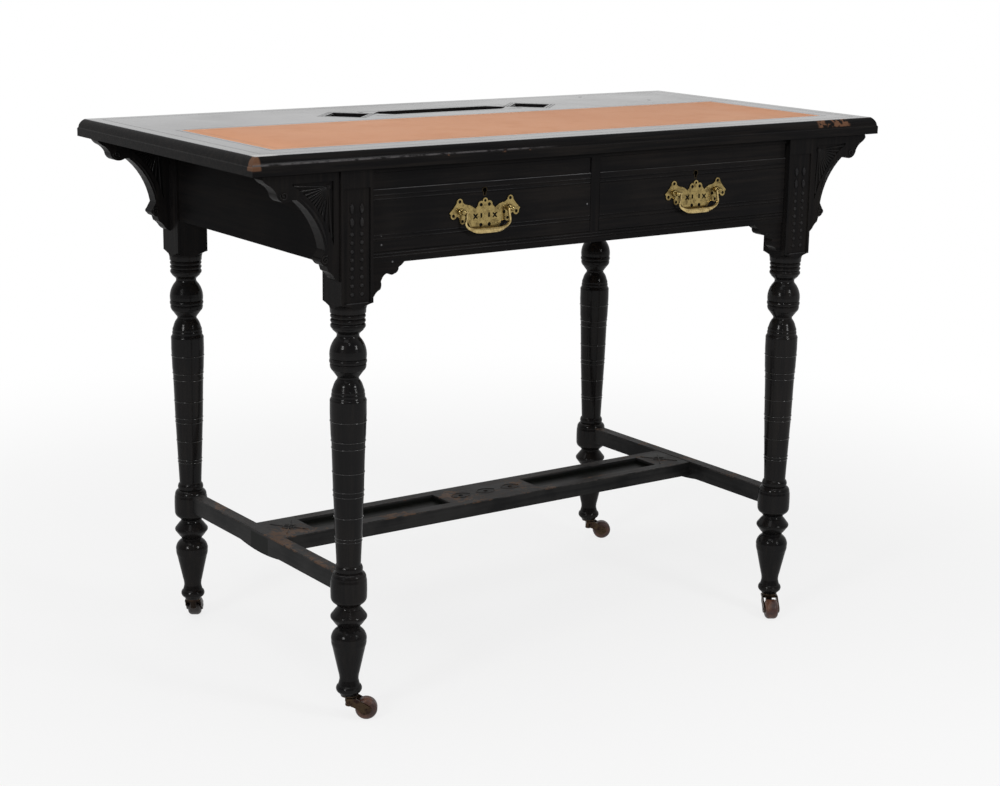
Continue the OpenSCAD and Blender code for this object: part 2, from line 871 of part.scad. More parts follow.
stretcher_top = stretcher_z + stretcher_rail_height;
stretcher_board_z = stretcher_top - stretcher_board_thickness - 0.5;
round_tenon_radius = 6;
board_end = leg_x - stretcher_rail_width / 2;

module stretcher_tenon(centre) {
    translate([centre.x, 0, stretcher_z + stretcher_rail_height / 2 - 2]) rotate([90, 0, 0])
        cylinder(r = round_tenon_radius, h = leg_spacing_y, center = true);
}

module stretcher_board_tenons() {
    span(
        [-board_end - stretcher_rail_width / 2, -stretcher_board_width * 0.35, stretcher_board_z + 5],
        [board_end + stretcher_rail_width / 2, stretcher_board_width * 0.35, stretcher_board_z + 15]
    );
}

module stretcher_rail(side) {
    bulge = 55;
    half = leg_y;
    reach = round_tenon_radius * 2;
    color(worn_ebony) difference() {
        translate([side * leg_x - stretcher_rail_width / 2, 0, 0]) rotate([90, 0, 90])
            linear_extrude(stretcher_rail_width) polygon(outline([
                [-half, stretcher_z, 0],
                [-bulge, stretcher_z, stretcher_drop],
                [bulge, stretcher_z, 0],
                [half, stretcher_z, 0],
                [half, stretcher_top, 0],
                [-half, stretcher_top, 0]
            ], 12));
        for (y = [-leg_y, leg_y]) translate([side * leg_x, y, stretcher_z - stretcher_rail_height])
            cylinder(r = turning_radius + drum_swell, h = 3 * stretcher_rail_height, $fn = 64);
        stretcher_board_tenons();
    }
    color(worn_ebony) for (y = [-1, 1]) intersection() {
        stretcher_tenon([side * leg_x, 0]);
        translate([side * leg_x, y * (leg_y - turning_radius + reach / 2 - 3), 0]) span(
            [-reach, -reach / 2, stretcher_z], [reach, reach / 2, stretcher_top]
        );
    }
}

module stretcher_left() { stretcher_rail(-1); }
module stretcher_right() { stretcher_rail(1); }

module stretcher_centre() {
    half = stretcher_board_width / 2;
    board_top = stretcher_board_z + stretcher_board_thickness;
    color(worn_ebony) difference() {
        union() {
            span([-board_end, -half, stretcher_board_z], [board_end, half, board_top]);
            stretcher_board_tenons();
        }
        for (side = [-1, 1]) mirror([side < 0 ? 1 : 0, 0, 0]) span(
            [stretcher_block_length / 2, -half + stretcher_margin, board_top - stretcher_panel_depth],
            [board_end - stretcher_end_length, half - stretcher_margin, board_top + overcut]
        );
    }
}

/* Drawers */

tail_count = 3;
tail_flare = 2;

// One drawer side in the drawer's own frame, with tails that lap into the front
module side_board(half) {
    low = drawer_z;
    high = drawer_z + drawer_side_height;
    pitch = drawer_side_height / tail_count;
    tail = pitch * 0.6;
    translate([half - drawer_side_thickness, 0, 0]) rotate([90, 0, 90])
        linear_extrude(drawer_side_thickness) {
            translate([front_back, low]) square([drawer_side_length, drawer_side_height]);
            for (i = [0:tail_count - 1]) translate([front_back, low + pitch * (i + 0.5)]) polygon([
                [0.5, -tail / 2], [0, -tail / 2], [-lap_depth, -tail / 2 - tail_flare],
                [-lap_depth, tail / 2 + tail_flare], [0, tail / 2], [0.5, tail / 2]
            ]);
        }
}

module bottom_panel(half) {
    reach = half - drawer_side_thickness + groove_bite;
    span([-reach, front_back - 4, bottom_z], [reach, side_end, bottom_top]);
}

module back_board(half) {
    reach = half - drawer_side_thickness + groove_bite;
    y1 = side_end - drawer_back_inset;
    span([-reach, y1 - drawer_side_thickness, bottom_top], [reach, y1, drawer_z + drawer_side_height - 8]);
}

module keyhole_outline(grow = 0) {
    translate([0, keyhole_z]) circle(r = keyhole_radius + grow);
    translate([-keyhole_slot / 2 - grow, keyhole_z - keyhole_reach - grow])
        square([keyhole_slot + 2 * grow, keyhole_reach + grow]);
}

module drawer_front(half) {
    color(ebony) difference() {
        span([-half, front_y, front_low], [half, front_back, front_high]);
        span(
            [-half - overcut, front_y - overcut, front_high - ledge_drop],
            [half + overcut, front_y + ledge_step, front_high + overcut]
        );
        for (drop = reed_drops) translate([0, front_y, front_high - drop]) rotate([0, 90, 0])
            cylinder(r = reed_radius, h = 2 * half + 2, center = true, $fn = 16);
        at_mirrored_x() side_board(half);
        bottom_panel(half);
        lock_shape();
        upright_slab(front_y - overcut, drawer_front_thickness) keyhole_outline();
        upright_slab(front_y - overcut, thread_depth + overcut) keyhole_outline(thread_wall);
        for (side = [-1, 1]) translate([side * post_x, front_y - overcut, post_z]) rotate([-90, 0, 0])
            cylinder(r = shank_radius + 0.2, h = drawer_front_thickness + 2 * overcut);
    }
}

module drawer_sides(half) {
    color(deal) at_mirrored_x() difference() {
        side_board(half);
        bottom_panel(half);
        back_board(half);
    }
}

module drawer_back(half) {
    color(deal) back_board(half);
}

module drawer_bottom(half) {
    color(deal) bottom_panel(half);
}

/* Lock */

bolt_y = front_back - lock_depth / 2;

module lock_shape() {
    plate_half = lock_width / 2 + 7;
    span(
        [-lock_width / 2, front_back - lock_depth, front_high - lock_height],
        [lock_width / 2, front_back, front_high]
    );
    span(
        [-plate_half, front_back - lock_depth - 1, front_high - lock_plate],
        [plate_half, front_back, front_high]
    );
}

module lock_case() {
    plate_half = lock_width / 2 + 7;
    color(old_brass) difference() {
        union() {
            lock_shape();
            span(
                [-plate_half, front_back, front_high - lock_height - 4],
                [plate_half, front_back + lock_plate, front_high]
            );
        }
        span(
            [-bolt_width / 2 - 0.2, bolt_y - bolt_thickness / 2 - 0.2, front_high - bolt_length - 2],
            [bolt_width / 2 + 0.2, bolt_y + bolt_thickness / 2 + 0.2, front_high + overcut]
        );
        upright_slab(front_back - lock_depth - overcut, 2 + overcut) keyhole_outline();
    }
}

bolt_length = 20;
module lock_bolt() {
    color(old_brass) span(
        [-bolt_width / 2, bolt_y - bolt_thickness / 2, front_high - bolt_length],
        [bolt_width / 2, bolt_y + bolt_thickness / 2, front_high - 0.2]
    );
}

module escutcheon() {
    color(old_brass) upright_slab(front_y, thread_depth) difference() {
        keyhole_outline(thread_wall);
        keyhole_outline();
    }
}

/* Handle */

// Right half of the back plate's edge, from the crest over the wing to the foot
plate_stations = [
    [0, 15.5, -1.2], [4.1, 11.2, -2.5], [11.3, 6.3, 0.4], [15.7, 2, -1.2], [28.2, 8, 0.8],
    [34.7, 11.6, -1.4], [39.2, 16.6, -1.6], [43.9, 11.2, 0.5], [54.9, -1, 0], [52.9, -3.6, -1.8],
    [48.6, -9.4, -1], [44.1, -5.8, 0.3], [40.2, -8, 0], [39.1, -11.4, -1.6], [35, -16.5, -0.3],
    [32, -15.3, 0], [26.1, -15, 0], [22, -22, 0.6], [0, -25, 0]
];

module plate_outline() {
    edge = outline(plate_stations, 6);
    last = len(edge) - 2;
    polygon(concat(edge, [for (i = [last:-1:1]) [-edge[i].x, edge[i].y]]));
}

module plate_half_piercings() {
    rounds = [
        [39.2, 12.7, 2.2], [48.9, -5, 2.2], [35, -12.6, 2],
        [29.5, -4.6, 2.4], [6.4, 6.8, 2.3], [6.6, -19, 2.5]
    ];
    for (p = rounds) translate([p.x, p.y]) circle(r = p.z);
    translate([15, -7.6]) polygon([
        for (i = [0:3]) each [
            1.7 * [cos(90 * i), sin(90 * i)], 4.6 * [cos(90 * i + 35), sin(90 * i + 35)],
            4.6 * [cos(90 * i + 55), sin(90 * i + 55)]
        ]
    ]);
    translate([6, -7]) square([2.7, 6], center = true);
}

module handle_plate() {
    color(old_brass) upright_slab(plate_face, plate_thickness) translate([0, post_z]) difference() {
        plate_outline();
        plate_half_piercings();
        mirror([1, 0]) plate_half_piercings();
        translate([0, 11.8]) circle(r = 1.8);
        for (side = [-1, 1]) translate([side * post_x, 0]) circle(r = shank_radius + running_fit);
    }
}

// A post turned in one piece: threaded shank, collar and a ball with the eye for the bail
module post() {
    tail = drawer_front_thickness + 7;
    eye_z = plate_thickness + pivot_reach;
    neck = 2.6;
    neck_z = eye_z - sqrt(eye_radius * eye_radius - neck * neck);
    chord = norm([neck, eye_z + eye_radius - neck_z]);
    bulge = eye_radius - sqrt(eye_radius * eye_radius - chord * chord / 4);
    difference() {
        rotate([90, 0, 0]) rotate_extrude() polygon(outline([
            [0, -tail, 0], [shank_radius, -tail, 0], [shank_radius, plate_thickness, 0],
            [4.4, plate_thickness, 1], [neck, neck_z - 0.8, 0],
            [neck, neck_z, bulge], [0, eye_z + eye_radius, 0]
        ], 10));
        translate([0, -eye_z, 0]) rotate([0, 90, 0])
            cylinder(r = bail_pin_radius + running_fit, h = 4 * eye_radius, center = true);
    }
}

module handle_posts() {
    color(old_brass) for (side = [-1, 1]) translate([side * post_x, front_y, post_z]) post();
}

module handle_nuts() {
    color(old_brass) for (side = [-1, 1]) translate([side * post_x, front_back, post_z])
        rotate([-90, 0, 0]) difference() {
            cylinder(r = 5.5, h = 4, $fn = 6);
            translate([0, 0, -overcut]) cylinder(r = shank_radius + running_fit, h = 6);
        }
}

// The bail's middle line, from the right pivot down and across to the left one, with swan necks
arm_x = post_x - eye_radius - slide_gap - arm_radius;
swan_reach = 3.2;
swan_turn = 3.2;
function bail_point(t) =
    let (a = t * 180, shape = pow(abs(cos(a)), 0.42), swan = sin(min(min(a, 180 - a) * swan_turn, 180)))
    [sign(cos(a)) * (arm_x * shape + swan_reach * swan), 0, -bail_drop * pow(sin(a), 0.55)];
function bail_radius(t) = arm_radius + (grip_radius - arm_radius) * pow(sin(t * 180), 6);

bail_rings = 32;
bail_sides = 10;
module bail_body() {
    path = [for (i = [0:bail_rings]) bail_point(i / bail_rings)];
    function direction(i) = let (d = path[min(i + 1, bail_rings)] - path[max(i - 1, 0)]) d / norm(d);
    rings = [
        for (i = [0:bail_rings]) let (d = direction(i), n = [-d.z, 0, d.x], r = bail_radius(i / bail_rings))
        for (k = [0:bail_sides - 1]) let (a = 360 * k / bail_sides)
            path[i] + r * (n * cos(a) + [0, 1, 0] * sin(a))
    ];
    walls = [
        for (i = [0:bail_rings - 1], k = [0:bail_sides - 1])
        let (a = i * bail_sides + k, b = i * bail_sides + (k + 1) % bail_sides)
        each [[a, b, b + bail_sides], [a, b + bail_sides, a + bail_sides]]
    ];
    caps = [
        [for (k = [bail_sides - 1:-1:0]) k],
        [for (k = [0:bail_sides - 1]) bail_rings * bail_sides + k]
    ];
    polyhedron(points = rings, faces = concat(walls, caps), convexity = 6);
}

module bail() {
    color(old_brass) translate([0, pivot_y, post_z]) {
        bail_body();
        for (side = [-1, 1]) translate([side * (arm_x - arm_radius), 0, 0]) rotate([0, side * 90, 0])
            cylinder(r = bail_pin_radius, h = post_x + eye_radius - arm_x + arm_radius - 0.5);
    }
}

module in_drawer(side) {
    translate([drawer_x(side), 0, 0]) children();
}

module left_drawer_front() { in_drawer(-1) drawer_front(drawer_half(-1)); }
module left_drawer_sides() { in_drawer(-1) drawer_sides(drawer_half(-1)); }
module left_drawer_back() { in_drawer(-1) drawer_back(drawer_half(-1)); }
module left_drawer_bottom() { in_drawer(-1) drawer_bottom(drawer_half(-1)); }
module left_lock_case() { in_drawer(-1) lock_case(); }
module left_lock_bolt() { in_drawer(-1) lock_bolt(); }
module left_escutcheon() { in_drawer(-1) escutcheon(); }
module left_handle_plate() { in_drawer(-1) handle_plate(); }
module left_handle_posts() { in_drawer(-1) handle_posts(); }
module left_handle_nuts() { in_drawer(-1) handle_nuts(); }
module left_bail() { in_drawer(-1) bail(); }
module right_drawer_front() { in_drawer(1) drawer_front(drawer_half(1)); }
module right_drawer_sides() { in_drawer(1) drawer_sides(drawer_half(1)); }
module right_drawer_back() { in_drawer(1) drawer_back(drawer_half(1)); }
module right_drawer_bottom() { in_drawer(1) drawer_bottom(drawer_half(1)); }
module right_lock_case() { in_drawer(1) lock_case(); }
module right_lock_bolt() { in_drawer(1) lock_bolt(); }
module right_escutcheon() { in_drawer(1) escutcheon(); }
module right_handle_plate() { in_drawer(1) handle_plate(); }
module right_handle_posts() { in_drawer(1) handle_posts(); }
module right_handle_nuts() { in_drawer(1) handle_nuts(); }
module right_bail() { in_drawer(1) bail(); }

/* Castors */

// The plate and sleeve let into a foot
module socket() {
    difference() {
        union() {
            translate([0, 0, foot_height - socket_plate]) cylinder(r = foot_radius - 0.4, h = socket_plate);
            translate([0, 0, foot_height - socket_plate])
                cylinder(r = sleeve_radius, h = socket_plate + sleeve_length);
        }
        cylinder(r = pintle_radius + running_fit, h = foot_height + sleeve_length + overcut);
    }
}

module castor_sockets() {
    color(old_brass) for (p = leg_centres) translate([p.x, p.y, 0]) socket();
}

cheek_gap = 0.4;
horn_post_radius = 4.8;
horn_post_low = 17;
horn_reach = 9.5;
cheek_inner = wheel_width / 2 + cheek_gap;
cheek_outer = cheek_inner + cheek_thickness;

// A horn whose wheel trails along +X
module horn_solid() {
    head_z = foot_height + sleeve_length + cheek_gap;
    translate([0, 0, horn_top - overcut]) cylinder(r = pintle_radius, h = head_z - horn_top + overcut);
    translate([0, 0, head_z]) cylinder(r = pintle_head, h = 2);
    rotate_extrude() polygon(outline([
        [0, horn_post_low, 0],
        [horn_post_radius - 1.5, horn_post_low, 1],
        [horn_post_radius, horn_post_low + 3, 0],
        [horn_post_radius, horn_top, 0],
        [0, horn_top, 0]
    ]));
    translate([0, 0, horn_top - horn_plate]) intersection() {
        cylinder(r = cheek_outer + 0.6, h = horn_plate);
        span([-horn_post_radius, -cheek_outer, 0], [horn_reach, cheek_outer, horn_plate]);
    }
    for (side = [-1, 1]) upright_slab(
        side > 0 ? cheek_inner : -cheek_outer, cheek_thickness
    ) polygon(outline([
        [1.5, horn_top, 0],
        [2.5, horn_post_low + 3, -1.5],
        [castor_trail - 6.5, wheel_radius - 4.5, 2.2],
        [castor_trail + 5, wheel_radius - 3, 2.5],
        [castor_trail + 3.5, wheel_radius + 5.5, 0],
        [horn_reach, horn_top, 0]
    ]));
    translate([castor_trail, 0, wheel_radius]) rotate([90, 0, 0])
        cylinder(r = axle_radius, h = 2 * cheek_outer + 1.2, center = true);
}

module castor_wheel_solid() {
    half = wheel_width / 2;
    tread = wheel_width * 0.15;
    shoulder = wheel_radius - 5;
    translate([castor_trail, 0, wheel_radius]) rotate([90, 0, 0]) rotate_extrude($fn = 64) polygon(outline([
        [axle_radius + running_fit, -half, 0],
        [shoulder, -half, 1.6],
        [wheel_radius, -tread, 0],
        [wheel_radius, tread, 1.6],
        [shoulder, half, 0],
        [axle_radius + running_fit, half, 0]
    ]));
}

module at_castor(index) {
    p = leg_centres[index];
    translate([p.x, p.y, 0]) rotate([0, 0, castor_angles[index]]) children();
}

module castor_horn_front_left() { color(old_brass) at_castor(0) horn_solid(); }
module castor_horn_front_right() { color(old_brass) at_castor(1) horn_solid(); }
module castor_horn_rear_left() { color(old_brass) at_castor(2) horn_solid(); }
module castor_horn_rear_right() { color(old_brass) at_castor(3) horn_solid(); }
module castor_wheel_front_left() { color(castor_brown) at_castor(0) castor_wheel_solid(); }
module castor_wheel_front_right() { color(castor_brown) at_castor(1) castor_wheel_solid(); }
module castor_wheel_rear_left() { color(castor_brown) at_castor(2) castor_wheel_solid(); }
module castor_wheel_rear_right() { color(castor_brown) at_castor(3) castor_wheel_solid(); }

top_board();
leather_inset();
leg_front_left();
leg_front_right();
leg_rear_left();
leg_rear_right();
end_bracket_front_left();
end_bracket_front_right();
end_bracket_rear_left();
end_bracket_rear_right();
inner_bracket_left();
inner_bracket_right();
end_rail_left();
end_rail_right();
back_rail();
front_top_rail();
front_bottom_rail();
front_divider();
centre_bearer();
drawer_runners();
drawer_guides();
drawer_kickers();
drawer_stops();
stretcher_left();
stretcher_right();
stretcher_centre();
glue_blocks();
top_screws();
castor_sockets();
left_drawer_front();
left_drawer_sides();
left_drawer_back();
left_drawer_bottom();
left_lock_case();
left_lock_bolt();
left_escutcheon();
left_handle_plate();
left_handle_posts();
left_handle_nuts();
left_bail();
right_drawer_front();
right_drawer_sides();
right_drawer_back();
right_drawer_bottom();
right_lock_case();
right_lock_bolt();
right_escutcheon();
right_handle_plate();
right_handle_posts();
right_handle_nuts();
right_bail();
castor_horn_front_left();
castor_horn_front_right();
castor_horn_rear_left();
castor_horn_rear_right();
castor_wheel_front_left();
castor_wheel_front_right();
castor_wheel_rear_left();
castor_wheel_rear_right();
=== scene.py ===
"""Looks of an ebonised writing table with a leather top, brass handles and castors."""

import math

import bmesh
import bpy
from mathutils import Matrix, Vector


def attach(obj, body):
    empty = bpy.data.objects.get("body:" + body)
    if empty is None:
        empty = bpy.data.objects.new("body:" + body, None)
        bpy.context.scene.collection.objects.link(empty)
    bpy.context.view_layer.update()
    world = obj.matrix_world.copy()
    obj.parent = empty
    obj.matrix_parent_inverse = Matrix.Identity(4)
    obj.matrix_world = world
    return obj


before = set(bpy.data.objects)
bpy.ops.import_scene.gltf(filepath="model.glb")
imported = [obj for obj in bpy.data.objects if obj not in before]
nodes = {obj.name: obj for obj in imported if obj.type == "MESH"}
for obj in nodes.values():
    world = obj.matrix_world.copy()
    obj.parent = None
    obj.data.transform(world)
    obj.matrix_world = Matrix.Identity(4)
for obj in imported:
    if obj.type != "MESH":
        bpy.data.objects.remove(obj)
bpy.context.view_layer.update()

# The photograph's camera
CAMERA_PLACE = (-1.631164, -2.322817, 1.028518)
CAMERA_AZIMUTH = -0.6189324596673501
CAMERA_DROP = 0.2366764142856547
CAMERA_ROLL = 0.015578849029870466
CAMERA_LENS = 72.0866

# Sizes of the construction that the finishes follow, in metres
TABLE_HEIGHT = 0.743
UNDER_TOP = 0.7195
HALF_LENGTH = 0.515
HALF_DEPTH = 0.25
LEG_X = 0.3692
LEG_Y = 0.2228
BLOCK_HALF = 0.023
BLOCK_BOTTOM = 0.56
BLOCK_FACE = -LEG_Y - BLOCK_HALF
FRONT_FACE = -0.2378
PANEL_HALF = 0.0155
PANEL_LOW = 0.555
PANEL_HIGH = 0.6905
TURNING_RADIUS = 0.0235
OUTER_X = LEG_X + BLOCK_HALF
LEATHER_Y = -0.069
LEATHER_HALF = (0.455, 0.122)
ROW_Y = 0.127
TRAY_HALF = (0.112, 0.019)
WELL_X = 0.16
WELL_HALF = 0.033
RAIL_TOP = 0.1955
EYE_PITCH = 0.044
EYE_HALF = (0.016, 0.0105)
CROSS_HALF = (0.017, 0.024)
BRACKET_FACE = 0.243
BRACKET_THICKNESS = 0.020
SPANDREL_DEPTH = 0.0025
STRETCHER_END_X = 0.331
TAPER_FOOT = 0.2115
TAPER_LENGTH = 0.2145

# Grooves of a leg as shares of its taper's length, and heights of the reeds of the drawer fronts and rails
RING_PLACES = (0.148, 0.169, 0.298, 0.428, 0.459, 0.574, 0.722, 0.765, 0.885)
REEDS = (0.6925, 0.6849, 0.6797, 0.6351, 0.6305, 0.6115, 0.6075)

# Small marks: pin holes in the top by x and y, pale specks in the front by x and z
PIN_HOLES = ((0.3154, 0.2046), (0.383, 0.1154))
PIN_RADIUS = 0.0031
SPECKS = ((-0.3297, 0.6345), (-0.3297, 0.6230), (0.0174, 0.6937), (-0.0089, 0.6517), (-0.3134, 0.6006))


def set_camera():
    data = bpy.data.cameras.new("photo_camera")
    data.lens = CAMERA_LENS
    data.sensor_width = 36.0
    camera = bpy.data.objects.new("photo_camera", data)
    bpy.context.scene.collection.objects.link(camera)
    forward = Vector((
        -math.sin(CAMERA_AZIMUTH) * math.cos(CAMERA_DROP),
        math.cos(CAMERA_AZIMUTH) * math.cos(CAMERA_DROP),
        -math.sin(CAMERA_DROP),
    ))
    level = Vector((math.cos(CAMERA_AZIMUTH), math.sin(CAMERA_AZIMUTH), 0.0))
    upright = level.cross(forward)
    right = level * math.cos(CAMERA_ROLL) + upright * math.sin(CAMERA_ROLL)
    up = upright * math.cos(CAMERA_ROLL) - level * math.sin(CAMERA_ROLL)
    turn = Matrix((right, up, -forward)).transposed()
    camera.matrix_world = Matrix.Translation(CAMERA_PLACE) @ turn.to_4x4()
    bpy.context.scene.camera = camera


set_camera()


class Wire:
    """An output of a material's tree that takes part in Python arithmetic."""

    def __init__(self, finish, socket):
        self.finish = finish
        self.socket = socket

    def maths(self, operation, *values):
        made = self.finish.node("ShaderNodeMath", {"operation": operation}, dict(enumerate(values)))
        return Wire(self.finish, made.outputs[0])

    def __add__(self, other):
        return self.maths("ADD", self, other)

    def __sub__(self, other):
        return self.maths("SUBTRACT", self, other)

    def __mul__(self, other):
        return self.maths("MULTIPLY", self, other)

    def __truediv__(self, other):
        return self.maths("DIVIDE", self, other)

    def __radd__(self, other):
        return self.maths("ADD", other, self)

    def __rsub__(self, other):
        return self.maths("SUBTRACT", other, self)

    def __rmul__(self, other):
        return self.maths("MULTIPLY", other, self)

    def __abs__(self):
        return self.maths("ABSOLUTE", self)

    def __pow__(self, other):
        return self.maths("POWER", self, other)

    def function(self, operation):
        return self.maths(operation, self)

    def least(self, other):
        return self.maths("MINIMUM", self, other)

    def most(self, other):
        return self.maths("MAXIMUM", self, other)

    def rise(self, low, high):
        """0 below low, 1 above high, and a smooth step between them."""
        made = self.finish.node(
            "ShaderNodeMapRange", {"interpolation_type": "SMOOTHSTEP"},
            {"Value": self, "From Min": low, "From Max": high, "To Min": 0.0, "To Max": 1.0},
        )
        return Wire(self.finish, made.outputs["Result"])

    def fall(self, low, high):
        return 1.0 - self.rise(low, high)

    def near(self, place, width):
        """1 at the place, 0 further than the width from it."""
        return abs(self - place).fall(width * 0.6, width)


class Tree:
    """A tree of nodes that is put together step by step."""

    def node(self, kind, settings=None, values=None):
        made = self.tree.nodes.new(kind)
        for key, value in (settings or {}).items():
            setattr(made, key, value)
        for key, value in (values or {}).items():
            if isinstance(value, Wire):
                self.tree.links.new(value.socket, made.inputs[key])
            else:
                made.inputs[key].default_value = value
        return made

    def out(self, kind, settings=None, values=None, output=0):
        """The chosen output of a new node."""
        return Wire(self, self.node(kind, settings, values).outputs[output])

    def vector(self, x, y, z):
        return self.out("ShaderNodeCombineXYZ", None, {0: x, 1: y, 2: z})


class Finish(Tree):
    """A procedural material."""

    def __init__(self, name):
        self.material = bpy.data.materials.new(name)
        self.material.use_nodes = True
        self.tree = self.material.node_tree
        self.tree.nodes.clear()
        self.place = self.node("ShaderNodeTexCoord").outputs["Object"]
        self.x, self.y, self.z = self.axes(Wire(self, self.place))
        self.shader = self.node("ShaderNodeBsdfPrincipled")
        out = self.node("ShaderNodeOutputMaterial")
        self.tree.links.new(self.shader.outputs[0], out.inputs["Surface"])

    def axes(self, vector):
        made = self.node("ShaderNodeSeparateXYZ", None, {0: vector})
        return [Wire(self, socket) for socket in made.outputs]

    def noise(self, scale, detail=3.0, roughness=0.5, distortion=0.0):
        """Noise whose scale is a number, or one number for each axis, in cells per metre."""
        vector = Wire(self, self.place)
        if isinstance(scale, tuple):
            vector = self.out("ShaderNodeMapping", None, {0: vector, "Scale": scale})
            scale = 1.0
        return self.out("ShaderNodeTexNoise", None, {
            "Vector": vector, "Scale": scale,
            "Detail": detail, "Roughness": roughness, "Distortion": distortion,
        })

    def cells(self, scale):
        """Distance to the nearest of many scattered points."""
        return self.out(
            "ShaderNodeTexVoronoi", None, {"Vector": Wire(self, self.place), "Scale": scale}, "Distance"
        )

    def blend(self, factor, first, second):
        """Colour between two colours."""
        return self.out(
            "ShaderNodeMix", {"data_type": "RGBA"}, {0: factor, 6: colour(first), 7: colour(second)}, 2
        )

    def bump(self, height, distance, strength):
        return self.out("ShaderNodeBump", None, {
            "Strength": strength, "Distance": distance, "Height": height,
        })

    def set(self, **sockets):
        """The sockets of the shader by their names in lower case, with underscores. Gives the material."""
        for key, value in sockets.items():
            name = key.replace("_", " ").title().replace("Ior", "IOR")
            if isinstance(value, Wire):
                self.tree.links.new(value.socket, self.shader.inputs[name])
            else:
                self.shader.inputs[name].default_value = colour(value)
        return self.material


def colour(value):
    """A colour of three parts gets its alpha. Anything else stays as it is."""
    return (*value, 1.0) if isinstance(value, tuple) and len(value) == 3 else value


ORIGIN = (0.0, 0.0, 0.0)


class Carving(Tree):
    """A Geometry Nodes tree with named sizes, which is baked into a plain mesh."""

    def __init__(self, name, **sizes):
        self.name = name
        self.tree = bpy.data.node_groups.new(name, "GeometryNodeTree")
        self.sizes = {}
        for key, value in sizes.items():
            kind = "NodeSocketInt" if isinstance(value, int) else "NodeSocketFloat"
            socket = self.tree.interface.new_socket(key, in_out="INPUT", socket_type=kind)
            self.sizes[key] = (socket.identifier, value)
        self.tree.interface.new_socket("Geometry", in_out="OUTPUT", socket_type="NodeSocketGeometry")
        self.group = self.tree.nodes.new("NodeGroupInput")

    def size(self, key):
        return Wire(self, self.group.outputs[key])

    def tube(self, curve, radius, sides=8):
        """A round tube along a curve, closed at its ends."""
        ring = self.out("GeometryNodeCurvePrimitiveCircle", None, {"Resolution": sides, "Radius": 1.0})
        return self.out("GeometryNodeCurveToMesh", None, {
            "Curve": curve, "Profile Curve": ring, "Scale": radius, "Fill Caps": True,
        })

    def arc(self, steps, start, middle, end):
        return self.out("GeometryNodeCurveArc", {"mode": "POINTS"}, {
            "Resolution": steps, "Start": start, "Middle": middle, "End": end,
        })

    def ball(self, radius, segments):
        return self.out("GeometryNodeMeshUVSphere", None, {
            "Segments": segments, "Rings": 8, "Radius": radius,
        })

    def moved(self, geometry, place=ORIGIN, scale=(1.0, 1.0, 1.0), turn=ORIGIN):
        return self.out("GeometryNodeTransform", None, {
            "Geometry": geometry, "Translation": place, "Scale": scale, "Rotation": turn,
        })

    def joined(self, *parts):
        made = self.node("GeometryNodeJoinGeometry")
        for part in parts:
            self.tree.links.new(part.socket, made.inputs[0])
        return Wire(self, made.outputs[0])

    def copies(self, count, piece, place, turn, scale):
        """Copies of a piece. Their places, turns and scales are worked out from the copy's number."""
        points = self.out("GeometryNodeMeshLine", None, {"Count": count, "Offset": ORIGIN})
        points = self.out("GeometryNodeSetPosition", None, {"Geometry": points, "Offset": place})
        return self.out("GeometryNodeInstanceOnPoints", None, {
            "Points": points, "Instance": piece, "Rotation": turn, "Scale": scale,
        })

    def number(self):
        return self.out("GeometryNodeInputIndex")

    def mesh(self, geometry, material):
        geometry = self.out("GeometryNodeRealizeInstances", None, {0: geometry})
        geometry = self.out("GeometryNodeSetMaterial", None, {"Geometry": geometry, "Material": material})
        self.tree.links.new(geometry.socket, self.tree.nodes.new("NodeGroupOutput").inputs[0])
        carrier = bpy.data.objects.new(self.name, bpy.data.meshes.new(self.name))
        bpy.context.scene.collection.objects.link(carrier)
        modifier = carrier.modifiers.new(self.name, "NODES")
        modifier.node_group = self.tree
        for identifier, value in self.sizes.values():
            modifier[identifier] = value
        evaluated = carrier.evaluated_get(bpy.context.evaluated_depsgraph_get())
        made = bpy.data.meshes.new_from_object(evaluated)
        carrier.modifiers.remove(modifier)
        bpy.data.objects.remove(carrier)
        return made


def piece_from(name, body, material, placed):
    """One plain mesh that rides on a body, joined from meshes and the matrices that place them."""
    whole = bmesh.new()
    for mesh, matrix in placed:
        part = bmesh.new()
        part.from_mesh(mesh)
        bmesh.ops.remove_doubles(part, verts=part.verts, dist=1e-7)
        part.transform(matrix)
        bmesh.ops.recalc_face_normals(part, faces=part.faces)
        step = bpy.data.meshes.new("step")
        part.to_mesh(step)
        part.free()
        whole.from_mesh(step)
        bpy.data.meshes.remove(step)
    mesh = bpy.data.meshes.new(name)
    whole.to_mesh(mesh)
    whole.free()
    mesh.materials.clear()
    mesh.materials.append(material)
    for face in mesh.polygons:
        face.material_index = 0
        face.use_smooth = True
    made = bpy.data.objects.new(name, mesh)
    bpy.context.scene.collection.objects.link(made)
    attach(made, body)


BLACK_STAIN = (0.0062, 0.0060, 0.0063)
BROWN_STAIN = (0.0118, 0.0103, 0.0096)
BARE_WOOD = (0.115, 0.058, 0.034)
GREY_WOOD = (0.085, 0.074, 0.066)
RUBBED_BROWN = (BARE_WOOD, GREY_WOOD)
# Grey tones of the rubbed ridges of the legs, also used for the painted highlights on their panels
GREY_WEAR_AND_HIGHLIGHT = ((0.055, 0.055, 0.058), (0.090, 0.088, 0.090))
# Pale tones of the painted highlights along the reeds, and of the pale specks
PALE_HIGHLIGHT_AND_SPECKS = ((0.090, 0.090, 0.094), (0.140, 0.138, 0.140))
GRAIN_ALONG = {"x": (7.0, 190.0, 190.0), "y": (190.0, 7.0, 190.0), "z": (190.0, 190.0, 7.0)}


